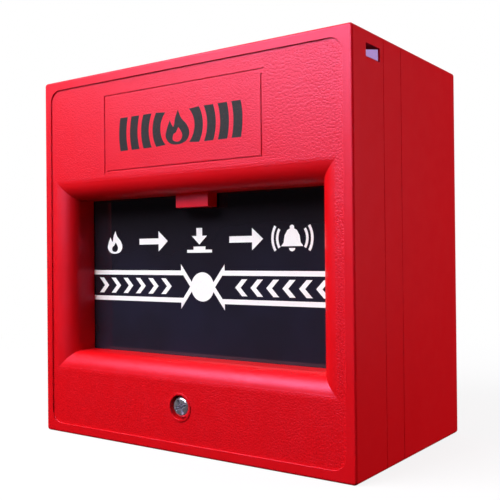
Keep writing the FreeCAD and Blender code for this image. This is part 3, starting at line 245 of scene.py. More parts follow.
def dark_pane():
    """Near-black glass-like plastic with a faint cloudiness, dust specks and a few hair scratches, and a
    painted bluish reflection that turns it navy towards the bottom.
    """
    finish = Finish("dark_pane")
    dark_top = tone(0.0125, 0.0105, 0.0130)
    painted_reflection_navy = tone(0.0185, 0.0175, 0.0340)
    dust_grey = tone(0.18, 0.18, 0.2)
    polish = 0.055
    rounded = finish.soft_edges(0.1 * MM)
    # Painted reflection: patchy navy that grows from the top of the pane towards its foot, under random
    # cloudiness.
    cloud_and_painted_reflection = finish.calc(
        "MULTIPLY",
        finish.ramp(finish.noise(16 * MM, 2), 0.3, 0.7, 0.5, 1.0),
        finish.ramp(finish.axis("Z"), PANE_HIGH.z, PANE_LOW.z + 12 * MM),
    )
    base = finish.blend(cloud_and_painted_reflection, dark_top, painted_reflection_navy)
    dust = finish.ramp(finish.noise(0.35 * MM, 1), 0.80, 0.86, 0.0, 0.25)
    scratch = finish.ramp(finish.noise(2.2 * MM, 2, (1, 1, 14)), 0.66, 0.74, 0.0, 0.05)
    finish.set(
        Base_Color=finish.blend(dust, base, dust_grey),
        Roughness=finish.calc("ADD", polish, scratch),
        Normal=finish.bump(finish.noise(9 * MM, 1), 0.004 * MM, rounded),
        IOR=1.49,
    )
    return finish.material


def ink(name, colour, fleck):
    """Screen-printed ink with fine flecks where the ground shows through."""
    finish = Finish(name)
    specks = finish.ramp(finish.noise(0.28 * MM, 2), 0.62, 0.74)
    finish.set(
        Base_Color=finish.blend(specks, colour, fleck),
        Roughness=finish.ramp(finish.noise(0.5 * MM), 0.3, 0.7, 0.5, 0.65),
        Normal=finish.bump(finish.noise(0.3 * MM, 3), 0.01 * MM),
        Specular_IOR_Level=0.25,
    )
    return finish.material


def rubber(name, colour):
    """Dull black rubber with a greyish bloom."""
    finish = Finish(name)
    rounded = finish.soft_edges(0.3 * MM)
    bloom = finish.noise(2.5 * MM, 4)
    finish.set(
        Base_Color=finish.blend(bloom, colour, scaled(colour, 2.2)),
        Roughness=finish.ramp(bloom, 0.3, 0.7, 0.62, 0.8),
        Normal=finish.bump(finish.noise(0.2 * MM, 2), 0.01 * MM, rounded),
    )
    return finish.material


def circuit_laminate():
    """Green solder mask over glass cloth: a fine weave, and edges where the bare laminate shows."""
    finish = Finish("board")
    rounded = finish.soft_edges(0.1 * MM)
    bare_laminate = tone(0.35, 0.33, 0.15)
    threads = {"Vector": finish.place, "Scale": 900}
    weave = finish.calc(
        "ADD",
        finish.add("TexWave", threads, bands_direction="X").outputs["Fac"],
        finish.add("TexWave", threads, bands_direction="Z").outputs["Fac"],
    )
    mask = finish.blend(finish.noise(6 * MM, 3), tone(0.006, 0.070, 0.022), tone(0.010, 0.105, 0.035))
    worn = finish.calc("MULTIPLY", finish.on_edge(rounded), 0.5)
    finish.set(
        Base_Color=finish.blend(worn, mask, bare_laminate),
        Roughness=finish.ramp(weave, 0.0, 2.0, 0.22, 0.34),
        Normal=finish.bump(weave, 0.004 * MM, rounded),
    )
    return finish.material


FINISHES = {
    "red_shell": red_shell(),
    "dark_pane": dark_pane(),
    "black_plastic": plastic("black_plastic", tone(0.018, 0.018, 0.020), 0.42),
    # The lavender of this pale plastic is painted bluish skylight on a white part.
    "pale_plastic": plastic("pale_plastic", tone(0.68, 0.43, 0.98), 0.45),
    "plunger_plastic": plastic("plunger_plastic", tone(0.55, 0.03, 0.03), 0.35),
    "plated_screw": metal("plated_screw", tone(0.80, 0.78, 0.88), 0.19, shine=0.86),
    "steel": metal("steel", tone(0.60, 0.60, 0.62), 0.28, (1, 1, 8)),
    "brass": metal("brass", tone(0.80, 0.56, 0.22), 0.26),
    "rubber": rubber("rubber", tone(0.012, 0.012, 0.013)),
    "board": circuit_laminate(),
    "chip_plastic": plastic("chip_plastic", tone(0.022, 0.022, 0.024), 0.55),
    "green_plastic": plastic("green_plastic", tone(0.015, 0.20, 0.07), 0.40),
    "resistor_body": plastic("resistor_body", tone(0.62, 0.47, 0.27), 0.35),
    "wire_jacket": plastic("wire_jacket", tone(0.45, 0.012, 0.014), 0.40),
}
BLACK_INK = ink("black_ink", tone(0.0110, 0.0110, 0.0140), tone(0.05, 0.012, 0.016))
WHITE_INK = ink("white_ink", tone(1.0, 1.0, 1.0), tone(0.78, 0.78, 0.84))
TIN = metal("tinned_lead", tone(0.70, 0.70, 0.69), 0.3)
GOLD = metal("gilt_pad", tone(0.85, 0.65, 0.30), 0.25)
CAN_SLEEVE = plastic("can_sleeve", tone(0.012, 0.016, 0.055), 0.30)
WIRE_BLACK = plastic("wire_black", tone(0.015, 0.015, 0.016), 0.40)
WIRE_BLUE = plastic("wire_blue", tone(0.015, 0.06, 0.30), 0.40)
TRACE = plastic("trace_mask", tone(0.014, 0.155, 0.055), 0.28)
SILK = plastic("silk_mark", tone(0.80, 0.80, 0.78), 0.5)
BANDS = {
    "brown": plastic("band_brown", tone(0.13, 0.035, 0.012), 0.35),
    "black": plastic("band_black", tone(0.012, 0.012, 0.012), 0.35),
    "yellow": plastic("band_yellow", tone(0.75, 0.50, 0.03), 0.35),
    "violet": plastic("band_violet", tone(0.17, 0.03, 0.30), 0.35),
    "gold": metal("band_gold", tone(0.75, 0.50, 0.16), 0.35),
}


def finish_cad_nodes():
    """Every node takes the finish that its material slot in the record names."""
    for part in frame["record"]["subparts"]:
        cad = nodes[part["node"]]
        cad.data.materials.clear()
        cad.data.materials.append(FINISHES[part["material_slot"]])


# ---- stage ----

def direction(azimuth, elevation):
    """Unit vector away from the object; azimuth 0 degrees is in front, 90 to the right."""
    turn, rise = math.radians(azimuth), math.radians(elevation)
    return Vector((math.sin(turn) * math.cos(rise), -math.cos(turn) * math.cos(rise), math.sin(rise)))


def point_camera():
    """Looks at the box from its right, level with its middle, a little tilted."""
    roll = math.radians(-0.53)
    target = Vector((0.18, -25, 1.15)) * MM
    distance = 188.8 * MM
    back = direction(35.36, -0.40)
    data = bpy.data.cameras.new("camera")
    data.lens = 55.4
    data.sensor_width = 36
    data.clip_start = 5 * MM
    camera = bpy.data.objects.new("camera", data)
    bpy.context.scene.collection.objects.link(camera)
    camera.location = target + back * distance
    camera.rotation_mode = "QUATERNION"
    camera.rotation_quaternion = (-back).to_track_quat("-Z", "Y") @ Quaternion((0, 0, 1), roll)
    bpy.context.scene.camera = camera


def soft_light(name, azimuth, elevation, size, power, colour=(1, 1, 1), distance=0.55):
    """A rectangular soft box aimed at the middle of the object."""
    back = direction(azimuth, elevation)
    data = bpy.data.lights.new(name, "AREA")
    data.shape = "RECTANGLE"
    data.size, data.size_y = size
    data.energy = power
    data.color = colour
    light = bpy.data.objects.new(name, data)
    bpy.context.scene.collection.objects.link(light)
    light.location = MIDDLE + back * distance
    light.rotation_mode = "QUATERNION"
    light.rotation_quaternion = (-back).to_track_quat("-Z", "Y")
    light.visible_camera = False
    return light


def light_the_stage():
    """Key from the upper left, a sheen for gloss only, weak fills and a dark room with a pale ceiling."""
    soft_light("key", -31, 42, (0.34, 0.20), 2.68, (0.97, 0.95, 1.0), 0.40).visible_glossy = False
    soft_light("sheen", -19, 32, (0.26, 0.14), 1.2, (0.96, 0.94, 1.0), 0.32).visible_diffuse = False
    soft_light("front_fill", -8, 2, (0.10, 0.10), 0.28).visible_glossy = False
    soft_light("right_fill", 122, 8, (0.30, 0.30), 2.3).visible_glossy = False
    soft_light("back_fill", 200, 25, (0.4, 0.4), 1.2).visible_glossy = False
    world = bpy.data.worlds.new("studio")
    bpy.context.scene.world = world
    world.use_nodes = True
    tree = world.node_tree
    tree.nodes.clear()
    looking = tree.nodes.new("ShaderNodeTexCoord").outputs["Generated"]
    height = tree.nodes.new("ShaderNodeSeparateXYZ")
    tree.links.new(looking, height.inputs["Vector"])
    sky = tree.nodes.new("ShaderNodeValToRGB")
    sky.color_ramp.elements[0].position = 0.45
    sky.color_ramp.elements[0].color = (0.008, 0.007, 0.010, 1)
    sky.color_ramp.elements[1].position = 1.0
    sky.color_ramp.elements[1].color = (0.25, 0.24, 0.30, 1)
    middle = sky.color_ramp.elements.new(0.70)
    middle.color = (0.014, 0.012, 0.018, 1)
    spread = tree.nodes.new("ShaderNodeMapRange")
    spread.inputs["From Min"].default_value = -1
    tree.links.new(height.outputs["Z"], spread.inputs["Value"])
    tree.links.new(spread.outputs["Result"], sky.inputs["Fac"])
    surroundings = tree.nodes.new("ShaderNodeBackground")
    tree.links.new(sky.outputs["Color"], surroundings.inputs["Color"])
    white = tree.nodes.new("ShaderNodeBackground")
    white.inputs["Color"].default_value = (1, 1, 1, 1)
    seen = tree.nodes.new("ShaderNodeMixShader")
    tree.links.new(tree.nodes.new("ShaderNodeLightPath").outputs["Is Camera Ray"], seen.inputs["Fac"])
    tree.links.new(surroundings.outputs["Background"], seen.inputs[1])
    tree.links.new(white.outputs["Background"], seen.inputs[2])
    output = tree.nodes.new("ShaderNodeOutputWorld")
    tree.links.new(seen.outputs["Shader"], output.inputs["Surface"])
    bpy.context.scene.view_settings.view_transform = "Standard"


def lay_floor():
    """Pale floor under the box that fades into the white background away from it."""
    reach = 4.0
    level = cad_box[0].z
    shaded_out_to, fully_shaded_in, strongest = 0.25, 0.05, 0.15
    mesh = bpy.data.meshes.new("floor")
    corners = [(x * reach, y * reach, level) for x, y in ((-1, -1), (1, -1), (1, 1), (-1, 1))]
    mesh.from_pydata(corners, [], [(0, 1, 2, 3)])
    floor = bpy.data.objects.new("floor", mesh)
    bpy.context.scene.collection.objects.link(floor)
    finish = Finish("floor")
    distance = finish.add("VectorMath", {0: finish.place}, operation="LENGTH").outputs["Value"]
    near = finish.ramp(distance, shaded_out_to, fully_shaded_in, 0.0, strongest)
    glow = finish.add("Emission", {"Color": (1, 1, 1, 1)})
    finish.set(Base_Color=tone(0.9, 0.9, 0.9), Roughness=0.9)
    mix = finish.add("MixShader", {"Fac": near})
    finish.put(mix, 1, glow.outputs["Emission"])
    finish.put(mix, 2, finish.shader.outputs["BSDF"])
    finish.put(finish.tree.nodes["Material Output"], "Surface", mix.outputs["Shader"])
    mesh.materials.append(finish.material)
    floor.visible_diffuse = False
    floor.visible_glossy = False


# ---- mesh building ----

class Shape:
    """Points and faces gathered from several simple forms, which become one piece."""

    def __init__(self):
        self.points = []
        self.faces = []
        self.tones = []
        self.materials = []

    def add(self, points, faces, material, place=Matrix.Identity(4)):
        """Adds one form, moved to its place."""
        if material not in self.materials:
            self.materials.append(material)
        start = len(self.points)
        self.points += [place @ Vector(point) for point in points]
        self.faces += [tuple(start + corner for corner in face) for face in faces]
        self.tones += [self.materials.index(material)] * len(faces)
        return self

    def piece(self, name, body, slot, replaced=(), smooth_under=35):
        """Makes the mesh, rides it on a body and, if it stands in for CAD nodes, hides those."""
        mesh = bpy.data.meshes.new(name)
        mesh.from_pydata(self.points, [], self.faces)
        for material in self.materials:
            mesh.materials.append(material)
        mesh.polygons.foreach_set("material_index", self.tones)
        tidy = bmesh.new()
        tidy.from_mesh(mesh)
        bmesh.ops.remove_doubles(tidy, verts=tidy.verts, dist=0.0004 * MM)
        bmesh.ops.recalc_face_normals(tidy, faces=tidy.faces)
        tidy.to_mesh(mesh)
        tidy.free()
        mesh.shade_smooth()
        mesh.set_sharp_from_angle(angle=math.radians(smooth_under))
        made = bpy.data.objects.new(name, mesh)
        bpy.context.scene.collection.objects.link(made)
        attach(made, body)
        if replaced:
            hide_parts(*replaced)
        return made


def facing(x, y, z, outward=(0, -1, 0)):
    """Places a form built along +Z so that it stands at a point and points outward."""
    return Matrix.Translation((x, y, z)) @ Vector(outward).to_track_quat("Z", "Y").to_matrix().to_4x4()


def join_rings(rings, close_ends=True):
    """Faces between equal rings of points, with a fan at each end where the ring is a single point."""
    points, faces, starts = [], [], []
    for ring in rings:
        starts.append(len(points))
        points += ring
    for number in range(len(rings) - 1):
        first, second = rings[number], rings[number + 1]
        a, b = starts[number], starts[number + 1]
        count = max(len(first), len(second))
        for k in range(count):
            after = (k + 1) % count
            if len(first) == 1:
                faces.append((a, b + k, b + after))
            elif len(second) == 1:
                faces.append((a + k, b, a + after))
            else:
                faces.append((a + k, b + k, b + after, a + after))
    if close_ends:
        for number, ring in ((0, rings[0]), (len(rings) - 1, rings[-1])):
            if len(ring) > 1:
                faces.append(tuple(starts[number] + k for k in range(len(ring))))
    return points, faces


def circle_ring(radius, height, angles):
    return [(radius * math.cos(a), radius * math.sin(a), height) for a in angles]


def turned(profile, count=32):
    """A body of revolution about Z through (radius, height) pairs; radius 0 makes a pole."""
    angles = [2 * math.pi * k / count for k in range(count)]
    rings = []
    for radius, height in profile:
        rings.append(circle_ring(radius, height, angles) if radius else [(0, 0, height)])
    return join_rings(rings)


def tube(path, radius, sides=10):
    """A round wire along a chain of points, with flat ends."""
    points = [Vector(point) for point in path]
    rings = []
    side = None
    for number, point in enumerate(points):
        before = points[max(0, number - 1)]
        after = points[min(len(points) - 1, number + 1)]
        along = (after - before).normalized()
        if side is None:
            side = along.orthogonal().normalized()
        side = (side - along * side.dot(along)).normalized()
        up = along.cross(side)
        ring = []
        for k in range(sides):
            angle = 2 * math.pi * k / sides
            ring.append(point + side * radius * math.cos(angle) + up * radius * math.sin(angle))
        rings.append(ring)
    return join_rings(rings)


def block(low, high, bevel=0.0):
    """A box between two corners, with rounded edges where a bevel is given."""
    form = bmesh.new()
    bmesh.ops.create_cube(form, size=1)
    low, high = Vector(low), Vector(high)
    size = high - low
    for vertex in form.verts:
        vertex.co = Vector(part * extent for part, extent in zip(vertex.co, size)) + (low + high) / 2
    if bevel:
        bmesh.ops.bevel(form, geom=form.edges[:], offset=bevel, segments=2, profile=0.5, affect="EDGES")
    points = [vertex.co.copy() for vertex in form.verts]
    faces = [tuple(vertex.index for vertex in face.verts) for face in form.faces]
    form.free()
    return points, faces


# ---- printed marks ----

def arc(x, z, radius, start, end, steps=16):
    """Points on a circle about (x, z) between two angles in degrees."""
    angles = [math.radians(start + (end - start) * k / steps) for k in range(steps + 1)]
    return [(x + radius * math.cos(a), z + radius * math.sin(a)) for a in angles]


def curl(points, sharp, steps=6):
    """A closed smooth line through points (Catmull-Rom), with corners at the sharp ones."""
    count = len(points)
    line = []
    for k in range(count):
        here, after = Vector(points[k]), Vector(points[(k + 1) % count])
        before = here if k in sharp else Vector(points[k - 1])
        beyond = after if (k + 1) % count in sharp else Vector(points[(k + 2) % count])
        for step in range(steps):
            t = step / steps
            bend = (after - here) * 3 * t * t - (after - here) * 2 * t * t * t
            start_pull = (after - before) / 2 * (t - 2 * t * t + t * t * t)
            end_pull = (beyond - here) / 2 * (t * t * t - t * t)
            line.append(tuple(here + bend + start_pull + end_pull))
    return line


def flame():
    """A flame, 1 high, standing on the origin: outer line and the small flame cut out of it."""
    outer = [(0.03, 1.0), (0.13, 0.76), (0.33, 0.53), (0.41, 0.29), (0.30, 0.08), (0.04, 0.0)]
    outer += [(-0.24, 0.05), (-0.39, 0.24), (-0.36, 0.46), (-0.25, 0.72), (-0.13, 0.52), (-0.07, 0.76)]
    inner = [(0.04, 0.50), (0.17, 0.28), (0.12, 0.12), (-0.02, 0.08), (-0.15, 0.15)]
    inner += [(-0.13, 0.30), (-0.04, 0.36)]
    return [curl(outer, (0, 9)), curl(inner, (0,))]


def bell():
    """An alarm bell, 1 high: dome with its rim, and the clapper below."""
    dome = [(-0.44, 0.20), (-0.34, 0.34), (-0.30, 0.60), (-0.19, 0.80), (-0.07, 0.87)]
    knob = arc(0, 0.91, 0.09, 200, -20, 10)
    right = [(-x, z) for x, z in reversed(dome)]
    clapper = arc(0, 0.13, 0.12, 180, 360, 12)
    return [dome + knob + right, clapper]


def press_sign():
    """A bold arrow that comes down on a push button, 1 high."""
    arrow = [(-0.13, 1.0), (-0.13, 0.68), (-0.34, 0.68), (0, 0.33)]
    arrow += [(0.34, 0.68), (0.13, 0.68), (0.13, 1.0)]
    button = [(-0.56, 0.0), (0.56, 0.0), (0.56, 0.12), (0.27, 0.12)]
    button += [(0.27, 0.25), (-0.27, 0.25), (-0.27, 0.12), (-0.56, 0.12)]
    return [arrow, button]


def pointer():
    """A plain arrow to the right, 1 long, centred."""
    shaft, barb, neck = 0.07, 0.24, 0.18
    upper = [(-0.5, shaft), (neck, shaft), (neck, barb), (0.5, 0)]
    lower = [(x, -z) for x, z in reversed(upper[:-1])]
    return [upper + lower]


def sized(loops, size, x=0.0, z=0.0, across=None):
    """Loops drawn 1 high, scaled to a size and moved to (x, z); `across` sets another width."""
    wide = size if across is None else across
    return [[(x + px * wide, z + pz * size) for px, pz in loop] for loop in loops]


def print_marks(name, loops, surface, ink_material, body, slot):
    """Closed loops in X and Z printed on a front-facing surface; a loop inside another is a hole."""
    curve = bpy.data.curves.new(name, "CURVE")
    curve.dimensions = "2D"
    curve.fill_mode = "BOTH"
    curve.extrude = INK / 2
    for loop in loops:
        spline = curve.splines.new("POLY")
        spline.points.add(len(loop) - 1)
        for point, (x, z) in zip(spline.points, loop):
            point.co = (x, z, 0, 1)
        spline.use_cyclic_u = True
    drawn = bpy.data.objects.new(name + "_line", curve)
    bpy.context.scene.collection.objects.link(drawn)
    flat = drawn.evaluated_get(bpy.context.evaluated_depsgraph_get()).to_mesh()
    upright = Matrix.Translation((0, surface - INK / 2, 0)) @ Matrix.Rotation(math.pi / 2, 4, "X")
    points = [vertex.co.copy() for vertex in flat.vertices]
    faces = [tuple(face.vertices) for face in flat.polygons]
    bpy.data.objects.remove(drawn)
    return Shape().add(points, faces, ink_material, upright).piece(name, body, slot)


def print_label():
    """Black fire pictogram on the label: a flame between sound waves."""
    middle, tall = 27.9 * MM, 7.6 * MM
    flame_width = 8.4 * MM
    waves, stroke, gap, first = 4, 2.3 * MM, 1.15 * MM, 4.9 * MM
    widest_swing = 47
    loops = sized(flame(), tall, 0, middle - tall / 2, flame_width)
    for side in (-1, 1):
        for number in range(waves):
            inner = first + number * (stroke + gap)
            outer = inner + stroke
            swing_out = math.degrees(math.asin(tall / 2 / outer))
            swing_in = min(math.degrees(math.asin(tall / 2 / inner)), widest_swing)
            outside = arc(0, middle, outer, -swing_out, swing_out)
            inside = arc(0, middle, inner, swing_in, -swing_in)
            loops.append([(side * x, z) for x, z in outside + inside])
    print_marks("label_pictogram", loops, PANEL_Y, BLACK_INK, "cover", "black_plastic")


def heading_marks():
    """How the pane is used, as a row of pictograms: fire, press, alarm."""
    tall, z = 5.6 * MM, 0.55 * MM
    middle = z + tall / 2
    pointer_tall, pointer_long = 10 * MM, 9 * MM
    bell_x = 24.0 * MM
    loops = sized(flame(), tall, -27.6 * MM, z, tall * 1.1)
    loops += sized(pointer(), pointer_tall, -14.8 * MM, middle, pointer_long)
    loops += sized(press_sign(), tall, -0.8 * MM, z, tall * 1.15)
    loops += sized(pointer(), pointer_tall, 12.2 * MM, middle, pointer_long)
    loops += sized(bell(), tall, bell_x, z, tall * 1.1)
    stroke, half_swing = 0.6 * MM, 32
    for side in (-1, 1):
        for radius in (4.0 * MM, 5.2 * MM):
            ring = arc(bell_x, middle, radius, -half_swing, half_swing, 8)
            ring += arc(bell_x, middle, radius - stroke, half_swing, -half_swing, 8)
            loops.append([(bell_x + side * (x - bell_x), z_ring) for x, z_ring in ring])
    return loops


def outline_arrow():
    """A long hollow arrow, in millimetres: tip by the middle, tail at the side of the pane."""
    tip, inner_tip, neck, inner_neck, tail = 2.3, 3.6, 6.3, 5.64, 35.0
    barb, outside, inside = 5.1, 3.7, 2.6
    upper = [(tip, 0), (neck, barb), (neck, outside), (tail, outside), (tail, inside), (inner_neck, inside)]
    lower = [(x, -z) for x, z in reversed(upper[1:])]
    return upper + [(inner_tip, 0)] + lower


def print_pane():
    """White marks on the pane: the row of pictograms, the pressing spot and two arrows that point at it."""
    surface = PANE_LOW.y
    dot_z, dot = -7.2 * MM, 3.3 * MM
    spot_proud = 0.005 * MM
    print_marks("pane_pictograms", heading_marks(), surface, WHITE_INK, "pane", "dark_pane")
    spot = arc(0, dot_z, dot, 0, 360, 48)[:-1]
    print_marks("pane_spot", [spot], surface - spot_proud, WHITE_INK, "pane", "dark_pane")
    loops = [[(side * x * MM, dot_z + z * MM) for x, z in outline_arrow()] for side in (-1, 1)]
    chevron = [(0, 0), (1.8, 1.85), (3.25, 1.85), (1.45, 0), (3.25, -1.85), (1.8, -1.85)]
    chevrons, first, spacing = 6, 9.2, 4.1
    for side in (-1, 1):
        for number in range(chevrons):
            start = first + spacing * number
            loops.append([(side * (start + x) * MM, dot_z + z * MM) for x, z in chevron])
    print_marks("pane_arrows", loops, surface, WHITE_INK, "pane", "dark_pane")


# ---- screws, springs and wires ----

def cross_angles():
    """Angles round a screw that include every corner of its cross recess."""
    right, diagonal = math.pi / 2, math.pi / 4
    arm = math.atan(0.2)
    quarter = [0, arm, (arm + diagonal) / 2, diagonal, (right - arm + diagonal) / 2, right - arm]
    return [angle + turn * right for turn in range(4) for angle in quarter]


def cross_ring(half_width, reach, height):
    """The outline of a cross, at the same angles as the screw's round rings."""
    ring = []
    for angle in cross_angles():
        across = abs(math.cos(angle))
        up = abs(math.sin(angle))
        not_zero = 1e-6
        radius = min(reach / max(across, up), half_width / max(min(across, up), not_zero))
        ring.append((radius * math.cos(angle), radius * math.sin(angle), height))
    return ring


def screw_form(head, crown, core, length, pitch):
    """A pan-head cross-recess screw along +Z, its head resting on z = 0; core is the crest radius."""
    angles = cross_angles()
    reach = head * 0.7
    half_width = reach * 0.2
    rings = [
        [(0, 0, crown * 0.20)],
        cross_ring(half_width * 0.75, reach * 0.55, crown * 0.30),
        cross_ring(half_width, reach * 0.92, crown * 0.93),
        cross_ring(half_width * 1.25, reach, crown * 0.985),
    ]
    dome = [(0.72, 0.975), (0.84, 0.90), (0.93, 0.76), (0.985, 0.55), (1.0, 0.38), (1.0, 0.06), (0.96, 0)]
    for share, rise in dome:
        rings.append(circle_ring(head * share, crown * rise, angles))
    root = core * 0.78
    rings.append(circle_ring(root, 0, angles))
    per_turn = 6
    for step in range(1, int(length / pitch * per_turn)):
        depth = step * pitch / per_turn
        taper = min(1.0, (length - depth) / (0.8 * core) + 0.35)
        ring = []
        for angle in angles:
            phase = (depth / pitch + angle / (2 * math.pi)) % 1.0
            crest = 1 - abs(2 * phase - 1)
            radius = (root + (core - root) * crest) * taper
            ring.append((radius * math.cos(angle), radius * math.sin(angle), -depth))
        rings.append(ring)
    rings.append([(0, 0, -length)])
    return join_rings(rings)


def screws(node, body, spots, head, crown, core, length, pitch, outward, slot="plated_screw"):
    """One piece that holds every screw of a node; spots are the points where the heads rest."""
    shape = Shape()
    form = screw_form(head, crown, core, length, pitch)
    for number, (x, y, z) in enumerate(spots):
        spin = Matrix.Rotation(math.radians(23 + 31 * number), 4, "Z")
        shape.add(*form, FINISHES[slot], facing(x, y, z, outward) @ spin)
    return shape.piece(node + "_detail", body, slot, [node])


def all_screws():
    """The cover screw, then the tapping screws of the inner frame, the board and the switch bracket."""
    low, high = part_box("cover_screw")
    middle = (low + high) / 2
    crown = 2 * MM
    spots = [(middle.x, low.y + crown, middle.z)]
    length = high.y - low.y - crown
    screws("cover_screw", "screw", spots, head=2.4 * MM, crown=crown, core=1.24 * MM,
           length=length, pitch=0.45 * MM, outward=(0, -1, 0))
    low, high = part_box("frame_screws")
    radius, crown = 2.5 * MM, 1.7 * MM
    spots = [(x, high.y - crown, (low.z + high.z) / 2) for x in (low.x + radius, high.x - radius)]
    screws("frame_screws", "cover", spots, head=radius, crown=crown, core=1.22 * MM,
           length=4.8 * MM, pitch=0.9 * MM, outward=(0, 1, 0))
    low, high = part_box("board_screws")
    radius, crown = 2 * MM, 1.4 * MM
    columns, rows = (low.x + radius, high.x - radius), (low.z + radius, high.z - radius)
    spots = [(x, low.y + crown, z) for x in columns for z in rows]
    screws("board_screws", "base", spots, head=radius, crown=crown, core=0.92 * MM,
           length=4.9 * MM, pitch=0.7 * MM, outward=(0, -1, 0))
    low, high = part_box("bracket_screws")
    radius, crown = 2.7 * MM, 1.89 * MM
    spots = [(x, low.y + crown, (low.z + high.z) / 2) for x in (low.x + radius, high.x - radius)]
    screws("bracket_screws", "base", spots, head=radius, crown=crown, core=1.22 * MM,
           length=6.9 * MM, pitch=0.9 * MM, outward=(0, -1, 0))


def pane_springs():
    """Four coils with closed ends between the shelf and the carrier."""
    low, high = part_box("pane_springs")
    wire, radius, travel = 0.25 * MM, 1.9 * MM, 3 * MM
    inset = radius + wire
    back, front = -34.0 * MM, -39.8 * MM
    turns, per_turn, closed_turn = 6.5, 20, 0.75
    seat = 1.05 * wire
    lift = back - front - 2 * seat
    for side, x in (("left", low.x + inset), ("right", high.x - inset)):
        for level, z in (("top", high.z - inset), ("low", low.z + inset)):
            path = []
            for step in range(int(turns * per_turn) + 1):
                turn = step / per_turn
                rise = min(max((turn - closed_turn) / (turns - 2 * closed_turn), 0.0), 1.0)
                y = back - seat - lift * rise
                angle = 2 * math.pi * turn
                path.append((x + radius * math.cos(angle), y, z + radius * math.sin(angle)))
            shape = Shape().add(*tube(path, wire, 8), FINISHES["steel"])
            coil = shape.piece(f"pane_spring_{side}_{level}", "cover", "steel", ["pane_springs"])
            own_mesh(coil)


def snap_blade():
    """The switch's spring blade, bowed towards the plunger."""
    low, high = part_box("snap_blade")
    rows, bow, thick = 24, 0.9 * MM, 0.15 * MM
    plunger_low, plunger_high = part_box("switch_plunger")
    crown_x = (plunger_low.x + plunger_high.x) / 2
    base_y = high.y + bow - thick
    rings = []
    for row in range(rows + 1):
        x = low.x + (high.x - low.x) * row / rows
        span = (crown_x - low.x) if x < crown_x else (high.x - crown_x)
        lift = math.cos(math.pi / 2 * min(1, abs(x - crown_x) / span)) ** 2 * bow
        y = base_y - lift
        rings.append([(x, y, low.z), (x, y - thick, low.z), (x, y - thick, high.z), (x, y, high.z)])
    shape = Shape().add(*join_rings(rings), FINISHES["brass"])
    blade = shape.piece("snap_blade_bow", "base", "brass", ["snap_blade"])
    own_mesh(blade)


def switch_wires():
    """Three coloured leads that bend from the switch terminals towards the board."""
    low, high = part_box("switch_wires")
    bend, radius = 3.7 * MM, 0.55 * MM
    steps = 12
    colours = (FINISHES["wire_jacket"], WIRE_BLACK, WIRE_BLUE)
    for number, colour in enumerate(colours):
        x = low.x + radius + (high.x - low.x - 2 * radius) * number / (len(colours) - 1)
        path = []
        for step in range(steps + 1):
            angle = math.pi / 2 * step / steps
            z = low.z + radius + bend * (1 - math.cos(angle))
            path.append((x, high.y - bend * math.sin(angle), min(z, high.z)))
        shape = Shape().add(*tube(path, radius, 14), colour)
        shape.piece(f"switch_wire_{number + 1}", "base", "wire_jacket", ["switch_wires"])


# ---- things on the board ----

def on_board(x, z):
    """Places a form built along +Z so that it stands on the front of the board."""
    return facing(x, BOARD_FACE, z)


def banded_resistor(node, bands):
    """Axial resistor with swollen ends and colour bands, its leads bent down to soldered feet."""
    low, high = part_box(node)
    middle_x, z = (low.x + high.x) / 2, (low.z + high.z) / 2
    half, thin, fat = 3.0 * MM, 1.0 * MM, 1.27 * MM
    y = low.y + 1.3 * MM
    lie = facing(middle_x, y, z, (1, 0, 0))
    ends = [(0, -half), (0.6 * MM, -half), (1.05 * MM, -half + 0.15 * MM), (fat, -half + 0.6 * MM)]
    ends += [(fat, -half + 1.1 * MM), (thin, -half + 1.7 * MM)]
    profile = ends + [(radius, -height) for radius, height in reversed(ends)]
    shape = Shape().add(*turned(profile, 28), FINISHES["resistor_body"], lie)
    wide, proud, sunk = 0.2 * MM, 0.012 * MM, 0.1 * MM
    first, spacing, last_shift = -1.05 * MM, 0.62 * MM, 0.25 * MM
    for number, band in enumerate(bands):
        at = first + spacing * number
        if number == len(bands) - 1:
            at += last_shift
        outside = [(thin + proud, at - wide), (thin + proud, at + wide)]
        hoop = [(thin - sunk, at - wide), *outside, (thin - sunk, at + wide)]
        shape.add(*turned(hoop, 28), BANDS[band], lie)
    wire, bend, steps = 0.28 * MM, 0.8 * MM, 6
    reach = (high.x - low.x) / 2 - 0.3 * MM
    fillet = [(0, 0), (0.85 * MM, 0), (0.62 * MM, 0.12 * MM), (0.36 * MM, 0.35 * MM)]
    fillet += [(0.30 * MM, 0.6 * MM), (0, 0.6 * MM)]
    for side in (-1, 1):
        path = [(middle_x + side * (half - 0.2 * MM), y, z), (middle_x + side * (reach - bend), y, z)]
        for step in range(1, steps + 1):
            angle = math.pi / 2 * step / steps
            out = reach - bend + bend * math.sin(angle)
            path.append((middle_x + side * out, y + bend * (1 - math.cos(angle)), z))
        path.append((middle_x + side * reach, BOARD_FACE, z))
        shape.add(*tube(path, wire, 10), TIN)
        shape.add(*turned(fillet, 20), TIN, on_board(middle_x + side * reach, z))
    shape.piece(node + "_detail", "base", "resistor_body", [node])


